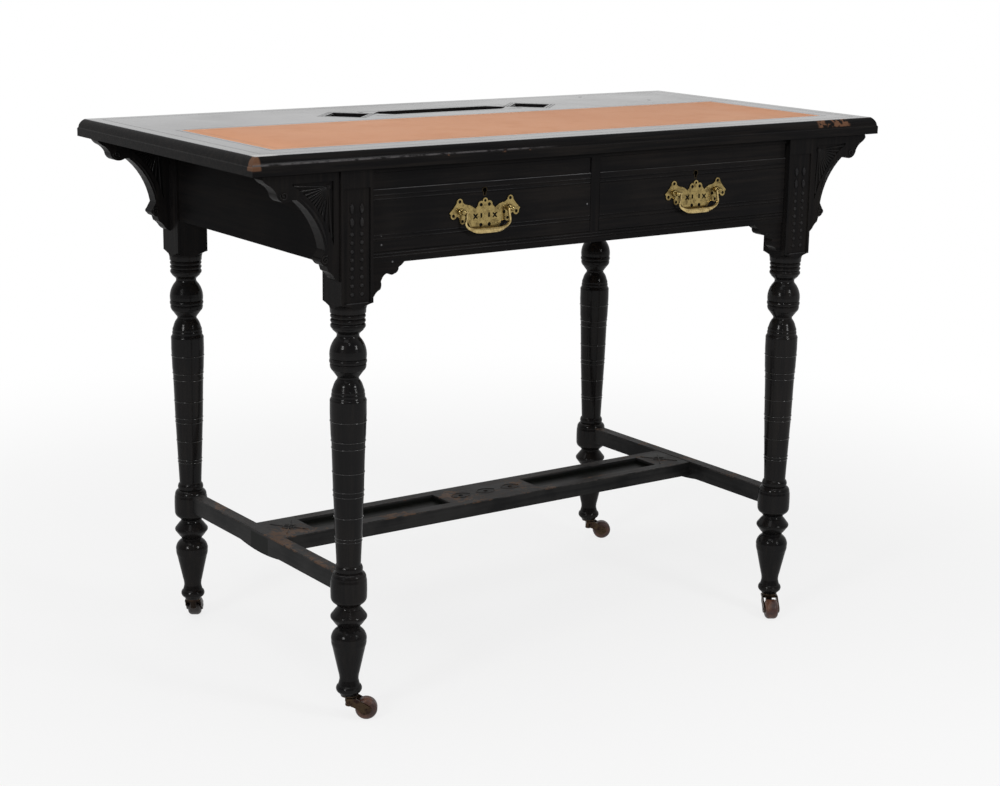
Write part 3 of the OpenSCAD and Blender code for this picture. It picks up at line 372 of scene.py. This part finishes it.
def ebonised(name, along, wear_and_highlight=None, polish=0.27, gloss=0.02, lacquer=None, depth=1.0, rubbed=RUBBED_BROWN):
    """Black stain and worn polish over open grain that runs along one axis.

    The wear function masks what is rubbed bare, and on the reeds and the leg panels the painted highlights,
    to the two colours in rubbed; lacquer(finish) is the weight of a clear coat, and depth lightens or
    darkens the stain, which on the end rails is painted shade.
    """
    black, brown = [tuple(part * depth for part in stain) for stain in (BLACK_STAIN, BROWN_STAIN)]
    f = Finish(name)
    grain = f.noise(GRAIN_ALONG[along], 4.0, 0.62, 0.3)
    cloud = f.noise(9.0, 3.0, 0.55)
    dust = f.noise(60.0, 2.0, 0.6)
    tone = f.blend((grain * 0.6 + cloud * 0.5).rise(0.42, 0.75), black, brown)
    roughness = polish + cloud.rise(0.35, 0.7) * 0.10 + grain.rise(0.5, 0.8) * 0.08
    if wear_and_highlight is not None:
        # Rubbed bare wood, and on the reeds and the leg panels painted highlights
        bare_and_highlight = wear_and_highlight(f)
        tone = f.blend(bare_and_highlight, tone, f.blend(grain.rise(0.3, 0.7), *rubbed))
        roughness = roughness + bare_and_highlight * 0.25
    height = grain * 0.7 + dust * 0.3
    if lacquer is not None:
        f.set(coat_weight=lacquer(f), coat_roughness=0.14)
    return f.set(
        base_color=tone, roughness=roughness, specular_ior_level=gloss,
        normal=f.bump(height, 0.00025, 0.35),
    )


def chips(f, size=110.0, share=0.62):
    """Irregular spots, larger with a smaller share."""
    return (f.noise(size, 4.0, 0.7) * 0.7 + f.noise(size * 0.17, 2.0, 0.5) * 0.3).rise(share, share + 0.05)


def turned_wear_and_panel_highlights(f):
    """Rubbed ridges of a turned leg, and painted highlights on the beads and rims in the sunk panel of its
    block.
    """
    radius = ((abs(f.x) - LEG_X) ** 2.0 + (abs(f.y) - LEG_Y) ** 2.0) ** 0.5
    ridge = radius.rise(TURNING_RADIUS - 0.0012, TURNING_RADIUS - 0.0002)
    ridge = ridge * f.z.fall(BLOCK_BOTTOM - 0.03, BLOCK_BOTTOM - 0.02) * chips(f, 190.0, 0.64) * 0.3
    # The panel's beads and rims are painted lighter: painted highlights where light catches them
    off = abs(abs(f.x) - LEG_X)
    beads = off.fall(PANEL_HALF - 0.003, PANEL_HALF - 0.002)
    beads = beads * f.z.rise(PANEL_LOW + 0.003, PANEL_LOW + 0.004)
    beads = beads * f.z.fall(PANEL_HIGH - 0.004, PANEL_HIGH - 0.003)
    beads = beads * (f.noise(90.0, 2.0).rise(0.3, 0.6) * 0.14 + 0.07)
    rims = f.z.near(PANEL_LOW - 0.0004, 0.0009).most(f.z.near(PANEL_HIGH + 0.0004, 0.0009))
    rims = rims * off.fall(PANEL_HALF, PANEL_HALF + 0.0005) * 0.3
    return ridge.most(beads.most(rims) * f.y.fall(BLOCK_FACE + 0.0006, BLOCK_FACE + 0.0012))


def turned_lacquer(f):
    """Clear coat on the turned part of a leg, below its square block."""
    return f.z.fall(BLOCK_BOTTOM - 0.016, BLOCK_BOTTOM - 0.012) * 0.15 + 0.02


def plain_wear(f):
    return chips(f, 130.0, 0.68) * 0.35


def reed_highlights_and_specks(f):
    """Painted highlights as pale lines along the reeds and the upper ledge of the drawer fronts, with pale
    specks.
    """
    along = f.noise((14.0, 60.0, 60.0), 3.0, 0.6).rise(0.38, 0.62)
    lines = f.z.near(REEDS[0], 0.0010)
    for height in REEDS[1:]:
        lines = lines.most(f.z.near(height, 0.0008) * 0.8)
    specks = 0.0
    for x, z in SPECKS:
        specks = (((f.x - x) ** 2.0 + (f.z - z) ** 2.0) ** 0.5).fall(0.0009, 0.0015).most(specks)
    # The painted highlights are made stronger towards the left
    side = f.x.fall(-0.02, 0.03) * 0.6 + 0.4
    lines = lines * (along * 0.6 + 0.4) * side * 0.8
    return lines.most(specks) * f.y.fall(FRONT_FACE + 0.0006, FRONT_FACE + 0.0012)


def line_round(f, centre, half, inset, width):
    """A thin line that runs round a rectangle at an inset from its edge."""
    dx = abs(f.x - centre[0]) - (half[0] - inset)
    dy = abs(f.y - centre[1]) - (half[1] - inset)
    return dx.most(dy).near(0.0, width)


def frame_lines(f):
    """Incised lines round the pen tray and the inkwell recesses, with crossed corners between them."""
    lines = line_round(f, (0.0, ROW_Y), (TRAY_HALF[0] + 0.012, TRAY_HALF[1] + 0.010), 0.0, 0.0011)
    for side in (-1.0, 1.0):
        dx = abs(f.x - side * WELL_X)
        dy = abs(f.y - ROW_Y)
        diamond = (dx + dy) - WELL_HALF
        lines = lines.most(diamond.near(0.009, 0.0015)).most(diamond.near(0.015, 0.0011))
    return lines.least(1.0)


def stretcher_finish(name, along):
    """Dusty black stain, rubbed to grey and brown on the upper faces by shoes."""
    f = Finish(name)
    grain = f.noise(GRAIN_ALONG[along], 4.0, 0.62, 0.3)
    cloud = f.noise(14.0, 3.0, 0.6)
    patch = f.noise(26.0, 3.0, 0.6)
    fine = f.noise(120.0, 4.0, 0.7)
    upper = f.z.rise(RAIL_TOP - 0.0022, RAIL_TOP - 0.0008)
    sunk = f.z.fall(RAIL_TOP - 0.0045, RAIL_TOP - 0.0025) * abs(f.y).fall(0.0238, 0.0242)
    tone = (cloud * 0.7 + grain * 0.4).rise(0.40, 0.68)
    tone = f.blend(tone, (0.0105, 0.0108, 0.0112), (0.0230, 0.0225, 0.0222))
    worn = (patch * 0.6 + fine * 0.4).rise(0.40, 0.58)
    grey = f.blend(grain.rise(0.3, 0.7), (0.032, 0.030, 0.030), (0.054, 0.050, 0.048))
    tone = f.blend(upper * worn, tone, grey)
    brown = (f.noise(11.0, 2.0, 0.5) * 0.6 + fine * 0.4).rise(0.555, 0.60)
    tone = f.blend(upper * brown * 0.85, tone, (0.098, 0.056, 0.034))
    tone = f.blend(sunk * 0.85, tone, (0.0048, 0.0056, 0.0046))
    pitches = f.x / EYE_PITCH
    offset = (pitches - (pitches + 0.5).function("FLOOR")) * (EYE_PITCH / EYE_HALF[0])
    reach = abs(f.y) / EYE_HALF[1] + offset ** 2.0
    eye = reach.fall(0.8, 1.0) * abs(f.x).fall(1.5 * EYE_PITCH - 0.001, 1.5 * EYE_PITCH) * upper
    tone = f.blend(eye * 0.65, tone, (0.006, 0.006, 0.006))
    height = grain * 0.6 + fine * 0.4
    return f.set(
        base_color=tone, roughness=0.42 + worn * upper * 0.2, specular_ior_level=0.02, coat_weight=0.06,
        coat_roughness=0.2, normal=f.bump(height, 0.0003, 0.45),
    )


def top_finish():
    """Polished black margin with incised lines, seen at a low angle against a pale room; painted highlights
    on the front quirk and left corner, painted shade in grooves and pin holes.
    """
    f = Finish("ebonised_top")
    grain = f.noise(GRAIN_ALONG["x"], 4.0, 0.62, 0.3)
    cloud = f.noise(7.0, 3.0, 0.55)
    fine = f.noise(420.0, 2.0, 0.6)
    upper = f.z.rise(TABLE_HEIGHT - 0.0006, TABLE_HEIGHT - 0.0003)
    edge_x = abs(f.x) - HALF_LENGTH
    edge_y = abs(f.y) - HALF_DEPTH
    arris = edge_x.most(edge_y).rise(-0.0022, -0.0004) * f.z.rise(0.729, 0.7305)
    front = f.y.fall(-HALF_DEPTH + 0.012, -HALF_DEPTH + 0.014)
    corner = f.x.fall(-HALF_LENGTH + 0.010, -HALF_LENGTH + 0.013) * front * f.z.rise(0.7255, 0.7275)
    right_end = f.x.rise(0.395, 0.402) * f.x.fall(0.455, 0.462) * front * f.z.rise(0.7325, 0.734)
    stretch = f.x.rise(-0.29, -0.28) * f.x.fall(-0.02, 0.0)
    rubbed = (corner * 0.85).most(right_end * chips(f, 90.0, 0.46))
    rubbed = rubbed.most(arris * front * stretch * chips(f, 90.0, 0.60))
    # A painted highlight: a pale line along the quirk of the front edge, towards the left
    pale = f.z.near(0.7325, 0.0012) * front * f.x.fall(-0.13, -0.06)
    pale = pale * f.noise(70.0, 3.0, 0.6).rise(0.35, 0.6)
    # A painted highlight: a whitish patch on the upper face near the front left corner
    corner_highlight = f.x.fall(-HALF_LENGTH + 0.03, -HALF_LENGTH + 0.045)
    corner_highlight = corner_highlight * f.y.fall(-HALF_DEPTH + 0.012, -HALF_DEPTH + 0.026)
    tone = f.blend(cloud.rise(0.35, 0.7), (0.020, 0.021, 0.023), (0.036, 0.036, 0.037))
    tone = f.blend(upper, f.blend(grain.rise(0.4, 0.7), BLACK_STAIN, BROWN_STAIN), tone)
    tone = f.blend(rubbed, tone, BARE_WOOD)
    tone = f.blend(pale * 0.8, tone, (0.085, 0.080, 0.082))
    tone = f.blend(corner_highlight * upper * 0.8, tone, (0.30, 0.29, 0.28))
    pins = 0.0
    for x, y in PIN_HOLES:
        distance = ((f.x - x) ** 2.0 + (f.y - y) ** 2.0) ** 0.5
        pins = distance.fall(PIN_RADIUS - 0.0003, PIN_RADIUS + 0.0003).most(pins)
    lines = line_round(f, (0.0, LEATHER_Y), LEATHER_HALF, -0.006, 0.0012)
    lines = lines.most(line_round(f, (0.0, 0.0), (HALF_LENGTH, HALF_DEPTH), 0.026, 0.0012))
    lines = (lines * 0.5).most(frame_lines(f))
    groove = lines.most(pins) * upper
    # The incised lines and the pin holes are painted darker: painted shade in the grooves and holes
    tone = f.blend(groove * 0.8, tone, (0.004, 0.004, 0.004))
    roughness = 0.13 + cloud.rise(0.3, 0.8) * 0.10 + fine * 0.04 + groove * 0.3
    height = grain * 0.4 + fine * 0.1 - groove * 2.0
    return f.set(
        base_color=tone, roughness=roughness, specular_ior_level=0.02, coat_roughness=0.1,
        coat_weight=upper * (0.44 - groove * 0.4), normal=f.bump(height, 0.0003, 0.3),
    )


def leather_finish():
    f = Finish("tan_leather")
    pores = f.cells(780.0)
    crease = f.noise(240.0, 4.0, 0.7, 0.6)
    cloud = f.noise(6.0, 4.0, 0.6)
    patch = f.noise(24.0, 3.0, 0.6)
    ends = abs(f.x).rise(0.36, 0.45)
    tone = f.blend(cloud.rise(0.3, 0.7), (0.480, 0.226, 0.120), (0.515, 0.256, 0.143))
    tone = f.blend(patch.rise(0.45, 0.75) * 0.5, tone, (0.445, 0.203, 0.105))
    tone = f.blend(ends * 0.5, tone, (0.515, 0.222, 0.100))
    tool = line_round(f, (0.0, LEATHER_Y), LEATHER_HALF, 0.010, 0.0011)
    tool = tool.most(line_round(f, (0.0, LEATHER_Y), LEATHER_HALF, 0.014, 0.0007))
    tone = f.blend(tool * 0.55, tone, (0.26, 0.10, 0.045))
    height = pores.rise(0.1, 0.6) * 0.5 + crease * 0.5 - tool * 1.2
    roughness = 0.52 + patch * 0.16 - tool * 0.1
    return f.set(
        base_color=tone, roughness=roughness, specular_ior_level=0.16,
        normal=f.bump(height, 0.00035, 0.45),
    )


def brass_finish(name="old_brass", bright=(0.315, 0.238, 0.095), dull=(0.098, 0.070, 0.028), polish=0.22):
    f = Finish(name)
    cloud = f.noise(140.0, 4.0, 0.65)
    spots = f.noise(620.0, 3.0, 0.7)
    tarnish = (cloud * 0.65 + spots * 0.35).rise(0.42, 0.66)
    tone = f.blend(tarnish, bright, dull)
    roughness = polish + tarnish * 0.22
    return f.set(
        base_color=tone, metallic=1.0, roughness=roughness,
        normal=f.bump(cloud * 0.6 + spots * 0.4, 0.0003, 0.35),
    )


def castor_wheel_finish(name, dark, light, worn):
    f = Finish(name)
    streak = f.noise(150.0, 4.0, 0.65, 0.4)
    cloud = f.noise(55.0, 3.0, 0.5)
    tone = f.blend(streak.rise(0.3, 0.75), dark, light)
    tone = f.blend(cloud.rise(0.45, 0.7) * 0.6, tone, worn)
    return f.set(
        base_color=tone, roughness=0.36 + streak * 0.25, specular_ior_level=0.45,
        normal=f.bump(streak, 0.0004, 0.5),
    )


def deal_finish(name, along):
    f = Finish(name)
    grain = f.noise(GRAIN_ALONG[along], 4.0, 0.6, 0.4)
    ring = f.noise(tuple(v * 0.3 for v in GRAIN_ALONG[along]), 3.0, 0.5, 0.8)
    cloud = f.noise(5.0, 2.0, 0.5)
    tone = f.blend(ring.rise(0.3, 0.7), (0.36, 0.235, 0.125), (0.25, 0.145, 0.070))
    tone = f.blend(grain.rise(0.5, 0.8) * 0.5, tone, (0.16, 0.085, 0.040))
    tone = f.blend(cloud.rise(0.5, 0.8) * 0.4, tone, (0.20, 0.13, 0.08))
    return f.set(
        base_color=tone, roughness=0.62 + grain * 0.2, specular_ior_level=0.35,
        normal=f.bump(grain, 0.0003, 0.5),
    )


def steel_finish():
    f = Finish("screw_steel")
    cloud = f.noise(400.0, 3.0, 0.6)
    return f.set(
        base_color=f.blend(cloud, (0.42, 0.41, 0.40), (0.20, 0.17, 0.15)), metallic=1.0,
        roughness=0.35 + cloud * 0.2, normal=f.bump(cloud, 0.0002, 0.4),
    )


FINISHES = {
    "top": top_finish(),
    "leather": leather_finish(),
    # The legs get painted highlights on the panels of their blocks
    "leg": ebonised("ebonised_leg", "z", turned_wear_and_panel_highlights, 0.2, 0.013, turned_lacquer, 1.0, GREY_WEAR_AND_HIGHLIGHT),
    # The rails get painted highlights along their reeds
    "rail_x": ebonised("ebonised_rail", "x", reed_highlights_and_specks, rubbed=PALE_HIGHLIGHT_AND_SPECKS),
    # The end rails' stain is darkened to 0.8 as painted shade
    "rail_y": ebonised("ebonised_end", "y", None, 0.3, 0.005, None, 0.8),
    "bracket": ebonised("ebonised_bracket", "z", plain_wear, 0.30),
    "stretcher_x": stretcher_finish("worn_stretcher", "x"),
    "stretcher_y": stretcher_finish("worn_stretcher_end", "y"),
    "carving": ebonised("ebonised_carving", "z", None, 0.34, 0.03, lambda f: 0.07),
    "rings": ebonised("ebonised_rings", "z", None, 0.2, 0.02, lambda f: 0.7),
    "keyhole": brass_finish("black_brass", (0.030, 0.022, 0.012), (0.012, 0.009, 0.006), 0.4),
    "bail": brass_finish("rubbed_brass", (0.52, 0.40, 0.18), (0.24, 0.17, 0.07), 0.12),
    # The drawer fronts get painted highlights along their reeds
    "drawer": ebonised("ebonised_drawer", "x", reed_highlights_and_specks, 0.22, 0.02, None, 1.1, PALE_HIGHLIGHT_AND_SPECKS),
    "brass": brass_finish(),
    "horn": brass_finish("dark_brass", (0.058, 0.040, 0.024), (0.024, 0.013, 0.013), 0.36),
    "wheel": castor_wheel_finish(
        "castor_brown", (0.018, 0.0062, 0.0045), (0.058, 0.021, 0.014), (0.15, 0.062, 0.030)
    ),
    # Darker copies of the castor finishes for the rear left castor: painted shade
    "shaded_horn": brass_finish("shaded_castor_horn", (0.020, 0.015, 0.012), (0.010, 0.007, 0.006), 0.40),
    "shaded_wheel": castor_wheel_finish(
        "shaded_castor_wheel", (0.008, 0.005, 0.005), (0.014, 0.009, 0.008), (0.030, 0.017, 0.013)
    ),
    "deal_x": deal_finish("deal_along", "x"),
    "deal_y": deal_finish("deal_across", "y"),
    "steel": steel_finish(),
}


# Starts of node names, without the side of a drawer, and the finish of each. The first that fits counts.
FINISH_OF = (
    ("top_board", "top"), ("top_screws", "steel"), ("leather", "leather"),
    ("leg_", "leg"), ("end_bracket", "bracket"), ("inner_bracket", "rail_x"),
    ("end_rail", "rail_y"), ("back_rail", "rail_x"), ("front_divider", "bracket"), ("front_", "rail_x"),
    ("stretcher_centre", "stretcher_x"), ("stretcher", "stretcher_y"),
    ("drawer_front", "drawer"), ("drawer_back", "deal_x"), ("drawer_bottom", "deal_x"),
    ("drawer_stops", "deal_x"), ("drawer_", "deal_y"),
    ("glue_blocks", "deal_x"), ("centre_bearer", "deal_y"),
    # The rear left castor takes the darker copies, as painted shade
    ("castor_wheel_rear_left", "shaded_wheel"), ("castor_horn_rear_left", "shaded_horn"),
    ("castor_wheel", "wheel"), ("castor_", "horn"),
    ("escutcheon", "keyhole"), ("bail", "bail"), ("", "brass"),
)


def finish_of(node):
    name = node.removeprefix("left_").removeprefix("right_")
    return FINISHES[next(finish for start, finish in FINISH_OF if name.startswith(start))]


for node_name, node in nodes.items():
    node.data.materials.clear()
    node.data.materials.append(finish_of(node_name))


def spandrel_fan():
    """Carving of one face of a bracket. X runs out from the block, Y down from the top, Z out of the face.

    The rays start at the eye and end on a circle, which is given by its centre as seen from the eye and by
    the power of the eye with respect to it.
    """
    fan = Carving(
        "spandrel_fan", rays=12, first=math.radians(-4.0), step=math.radians(8.8),
        ray_foot=0.0006, ray_tip=0.0021, boss=0.0036, crescent=0.0017, scroll=0.0013,
    )
    eye = (0.0145, 0.0188)
    arc_centre = (0.1229, 0.1078)
    power = 0.008823
    turn = fan.number() * fan.size("step") + fan.size("first")
    slope = arc_centre[0] * turn.function("COSINE") + arc_centre[1] * turn.function("SINE")
    length = slope - (slope * slope - power) ** 0.5
    line = fan.out("GeometryNodeCurvePrimitiveLine", None, {"Start": ORIGIN, "End": (1.0, 0.0, 0.0)})
    line = fan.out("GeometryNodeResampleCurve", None, {"Curve": line, "Count": 5})
    along = fan.out("GeometryNodeSplineParameter")
    ray = fan.tube(line, fan.size("ray_foot") + along * (fan.size("ray_tip") - fan.size("ray_foot")))
    rays = fan.copies(
        fan.size("rays"), ray, (*eye, -SPANDREL_DEPTH),
        fan.vector(0.0, 0.0, turn), fan.vector(length, 1.0, 1.0),
    )
    boss = fan.moved(fan.ball(fan.size("boss"), 16), (*eye, -SPANDREL_DEPTH), (1.0, 1.0, 0.75))
    bow = fan.arc(26, (0.0565, 0.0296, 0.0), (0.0308, 0.0576, 0.0), (0.0182, 0.0920, 0.0))
    swell = (along * math.pi).function("SINE")
    bow = fan.moved(fan.tube(bow, 0.0004 + swell * fan.size("crescent")), scale=(1.0, 1.0, 0.5))
    parts = [rays, boss, bow]
    for place, start in (((0.0775, 0.0252, 0.0), 2.2), ((0.0210, 0.1080, 0.0), 0.4)):
        coil = fan.out("GeometryNodeCurveSpiral", None, {
            "Resolution": 16, "Rotations": 1.4, "Start Radius": 0.0008, "End Radius": 0.0056, "Height": 0.0,
        })
        parts.append(fan.moved(fan.tube(coil, fan.size("scroll"), 6), place, turn=(0.0, 0.0, start)))
    return fan.mesh(fan.joined(*parts), FINISHES["carving"])


def carve_brackets():
    """The carving on the outer and the inner face of each of the four brackets."""
    fan = spandrel_fan()
    placed = []
    for side_x in (-1, 1):
        for side_y in (-1, 1):
            for depth, out in ((BRACKET_FACE, side_y), (BRACKET_FACE - BRACKET_THICKNESS, -side_y)):
                turn = Matrix(((side_x, 0.0, 0.0), (0.0, 0.0, out), (0.0, -1.0, 0.0))).to_4x4()
                corner = (side_x * OUTER_X, side_y * depth, UNDER_TOP)
                placed.append((fan, Matrix.Translation(corner) @ turn))
    piece_from("bracket_carving", "table", FINISHES["carving"], placed)


def stretcher_carving():
    """Raised outlines of the eyes on the middle block and of the crosses on the end blocks."""
    knot = Carving(
        "stretcher_carving", eyes=3, pitch=EYE_PITCH, line=0.0008, boss=0.0028, cross=0.0010, diamond=0.0105
    )
    half_x, half_y = EYE_HALF
    cross_x, cross_y = CROSS_HALF
    lids = []
    for side in (-1.0, 1.0):
        arc = knot.arc(14, (-half_x, 0.0, 0.0), (0.0, side * half_y, 0.0), (half_x, 0.0, 0.0))
        lids.append(knot.tube(arc, knot.size("line"), 6))
    eye = knot.joined(*lids, knot.moved(knot.ball(knot.size("boss"), 14), scale=(1.4, 1.0, 0.5)))
    shift = (knot.number() - (knot.size("eyes") - 1.0) * 0.5) * knot.size("pitch")
    place = knot.vector(shift, 0.0, RAIL_TOP)
    parts = [knot.copies(knot.size("eyes"), eye, place, ORIGIN, (1.0, 1.0, 1.0))]
    for side in (-1.0, 1.0):
        bars = [
            knot.out("GeometryNodeCurvePrimitiveLine", None, {
                "Start": (-cross_x, -cross_y * lean, 0.0), "End": (cross_x, cross_y * lean, 0.0),
            })
            for lean in (-1.0, 1.0)
        ]
        diamond = knot.out("GeometryNodeCurvePrimitiveCircle", None, {
            "Resolution": 4, "Radius": knot.size("diamond"),
        })
        for line in (*bars, diamond):
            tube = knot.tube(line, knot.size("cross"), 6)
            parts.append(knot.moved(tube, (side * STRETCHER_END_X, 0.0, RAIL_TOP)))
    finish = FINISHES["stretcher_x"]
    mesh = knot.mesh(knot.joined(*parts), finish)
    piece_from("stretcher_carving", "table", finish, [(mesh, Matrix())])


def surface_radius(node, height):
    """Radius of a turned leg at a height, read from its own mesh with the grooves passed over."""
    centre = Vector((LEG_X, LEG_Y))
    widest = {}
    for vertex in nodes[node].data.vertices:
        if abs(vertex.co.z - height) < 0.03:
            reach = (Vector((abs(vertex.co.x), abs(vertex.co.y))) - centre).length
            place = round(vertex.co.z, 4)
            widest[place] = max(reach, widest.get(place, 0.0))
    rows = sorted(widest.items())
    plain = [
        row for before, row, after in zip(rows, rows[1:], rows[2:]) if row[1] > min(before[1], after[1])
    ]
    low = max(row for row in plain if row[0] <= height)
    high = min(row for row in plain if row[0] > height)
    return low[1] + (high[1] - low[1]) * (height - low[0]) / (high[0] - low[0])


def turned_rings():
    """Fine beads in the turned grooves of the legs, which catch the light as thin lines."""
    rings = Carving("turned_rings", bead=0.0007, sides=56)
    parts = []
    for place in RING_PLACES:
        height = TAPER_FOOT + TAPER_LENGTH * place
        radius = surface_radius("leg_front_left", height)
        ring = rings.out("GeometryNodeCurvePrimitiveCircle", None, {
            "Resolution": rings.size("sides"), "Radius": radius,
        })
        parts.append(rings.moved(rings.tube(ring, rings.size("bead"), 6), (0.0, 0.0, height)))
    mesh = rings.mesh(rings.joined(*parts), FINISHES["rings"])
    placed = [(mesh, Matrix.Translation((x, y, 0.0))) for x in (-LEG_X, LEG_X) for y in (-LEG_Y, LEG_Y)]
    piece_from("turned_rings", "table", FINISHES["rings"], placed)


carve_brackets()
stretcher_carving()
turned_rings()


BACKDROP_DIRECTION = (0.58, 0.81, 0.1)
ROOM_LEVEL = 0.12
AMBIENT_LEVEL = 0.34
FLOOR_REACH = 60.0


def lamp(name, place, aim, side, power):
    """A square lamp that faces the point it is aimed at."""
    data = bpy.data.lights.new(name, "AREA")
    data.shape = "RECTANGLE"
    data.size = side
    data.size_y = side
    data.energy = power
    made = bpy.data.objects.new(name, data)
    bpy.context.scene.collection.objects.link(made)
    made.location = place
    made.rotation_euler = (Vector(aim) - Vector(place)).to_track_quat("-Z", "Y").to_euler()


def studio():
    """Three lamps in front, as the highlights on the turned legs show, and one overhead, in a pale room."""
    lamp("left_lamp", (-3.0, -1.2, 1.8), (0.0, 0.0, 0.5), 0.60, 34.0)
    lamp("right_lamp", (0.50, -1.80, 1.20), (-0.2, 0.0, 0.5), 0.36, 13.0)
    lamp("camera_lamp", (-0.93, -1.96, 2.35), (0.0, 0.0, 0.5), 0.14, 4.0)
    lamp("ceiling_lamp", (-0.6, 0.0, 3.2), (0.0, 0.0, 0.7), 2.6, 45.0)

    world = bpy.data.worlds.new("studio")
    bpy.context.scene.world = world
    world.use_nodes = True
    tree = world.node_tree
    tree.nodes.clear()

    def made(kind, operation=None, *values):
        node = tree.nodes.new(kind)
        if operation:
            node.operation = operation
        for place, value in enumerate(values):
            if isinstance(value, (int, float, tuple)):
                node.inputs[place].default_value = value
            else:
                tree.links.new(value, node.inputs[place])
        return node

    path = made("ShaderNodeLightPath").outputs
    direction = made("ShaderNodeTexCoord").outputs["Generated"]
    towards = made("ShaderNodeVectorMath", "DOT_PRODUCT", direction, BACKDROP_DIRECTION).outputs["Value"]
    step = made("ShaderNodeMapRange", None, towards, -0.35, 0.35, ROOM_LEVEL, 1.0).outputs["Result"]

    def maths(operation, *values):
        return made("ShaderNodeMath", operation, *values).outputs[0]

    mirrored = maths("MAXIMUM", path["Is Glossy Ray"], path["Is Transmission Ray"])
    shown = maths("MAXIMUM", maths("MULTIPLY", mirrored, step), path["Is Camera Ray"])
    strength = maths("MAXIMUM", shown, maths("MULTIPLY", maths("SUBTRACT", 1.0, mirrored), AMBIENT_LEVEL))
    background = made("ShaderNodeBackground", None, (1.0, 1.0, 1.0, 1.0), strength)
    out = made("ShaderNodeOutputWorld")
    tree.links.new(background.outputs[0], out.inputs["Surface"])


def floor_finish():
    """Pale matt floor that a camera sees nearly white, with the table's soft shadow kept near it."""
    f = Finish("pale_floor")
    f.set(base_color=(0.62, 0.62, 0.62), roughness=0.9, specular_ior_level=0.1)
    path = f.node("ShaderNodeLightPath")
    seen = Wire(f, path.outputs["Is Camera Ray"]).most(Wire(f, path.outputs["Is Glossy Ray"]))
    seen = seen.most(Wire(f, path.outputs["Is Transmission Ray"]))
    away = ((f.x ** 2.0 + f.y ** 2.0) ** 0.5).rise(0.7, 1.9)
    glow = f.node("ShaderNodeEmission", None, {"Color": (1.0, 1.0, 1.0, 1.0), "Strength": 1.0})
    mix = f.node("ShaderNodeMixShader", None, {0: seen * (0.80 + away * 0.20)})
    out = next(n for n in f.tree.nodes if n.type == "OUTPUT_MATERIAL")
    f.tree.links.new(f.shader.outputs[0], mix.inputs[1])
    f.tree.links.new(glow.outputs[0], mix.inputs[2])
    f.tree.links.new(mix.outputs[0], out.inputs["Surface"])
    return f.material


def lay_floor():
    mesh = bpy.data.meshes.new("floor")
    corners = [(-1, -1), (1, -1), (1, 1), (-1, 1)]
    mesh.from_pydata([(x * FLOOR_REACH, y * FLOOR_REACH, 0.0) for x, y in corners], [], [(0, 1, 2, 3)])
    mesh.materials.append(floor_finish())
    floor = bpy.data.objects.new("floor", mesh)
    bpy.context.scene.collection.objects.link(floor)


studio()
lay_floor()
bpy.context.scene.view_settings.view_transform = "Standard"
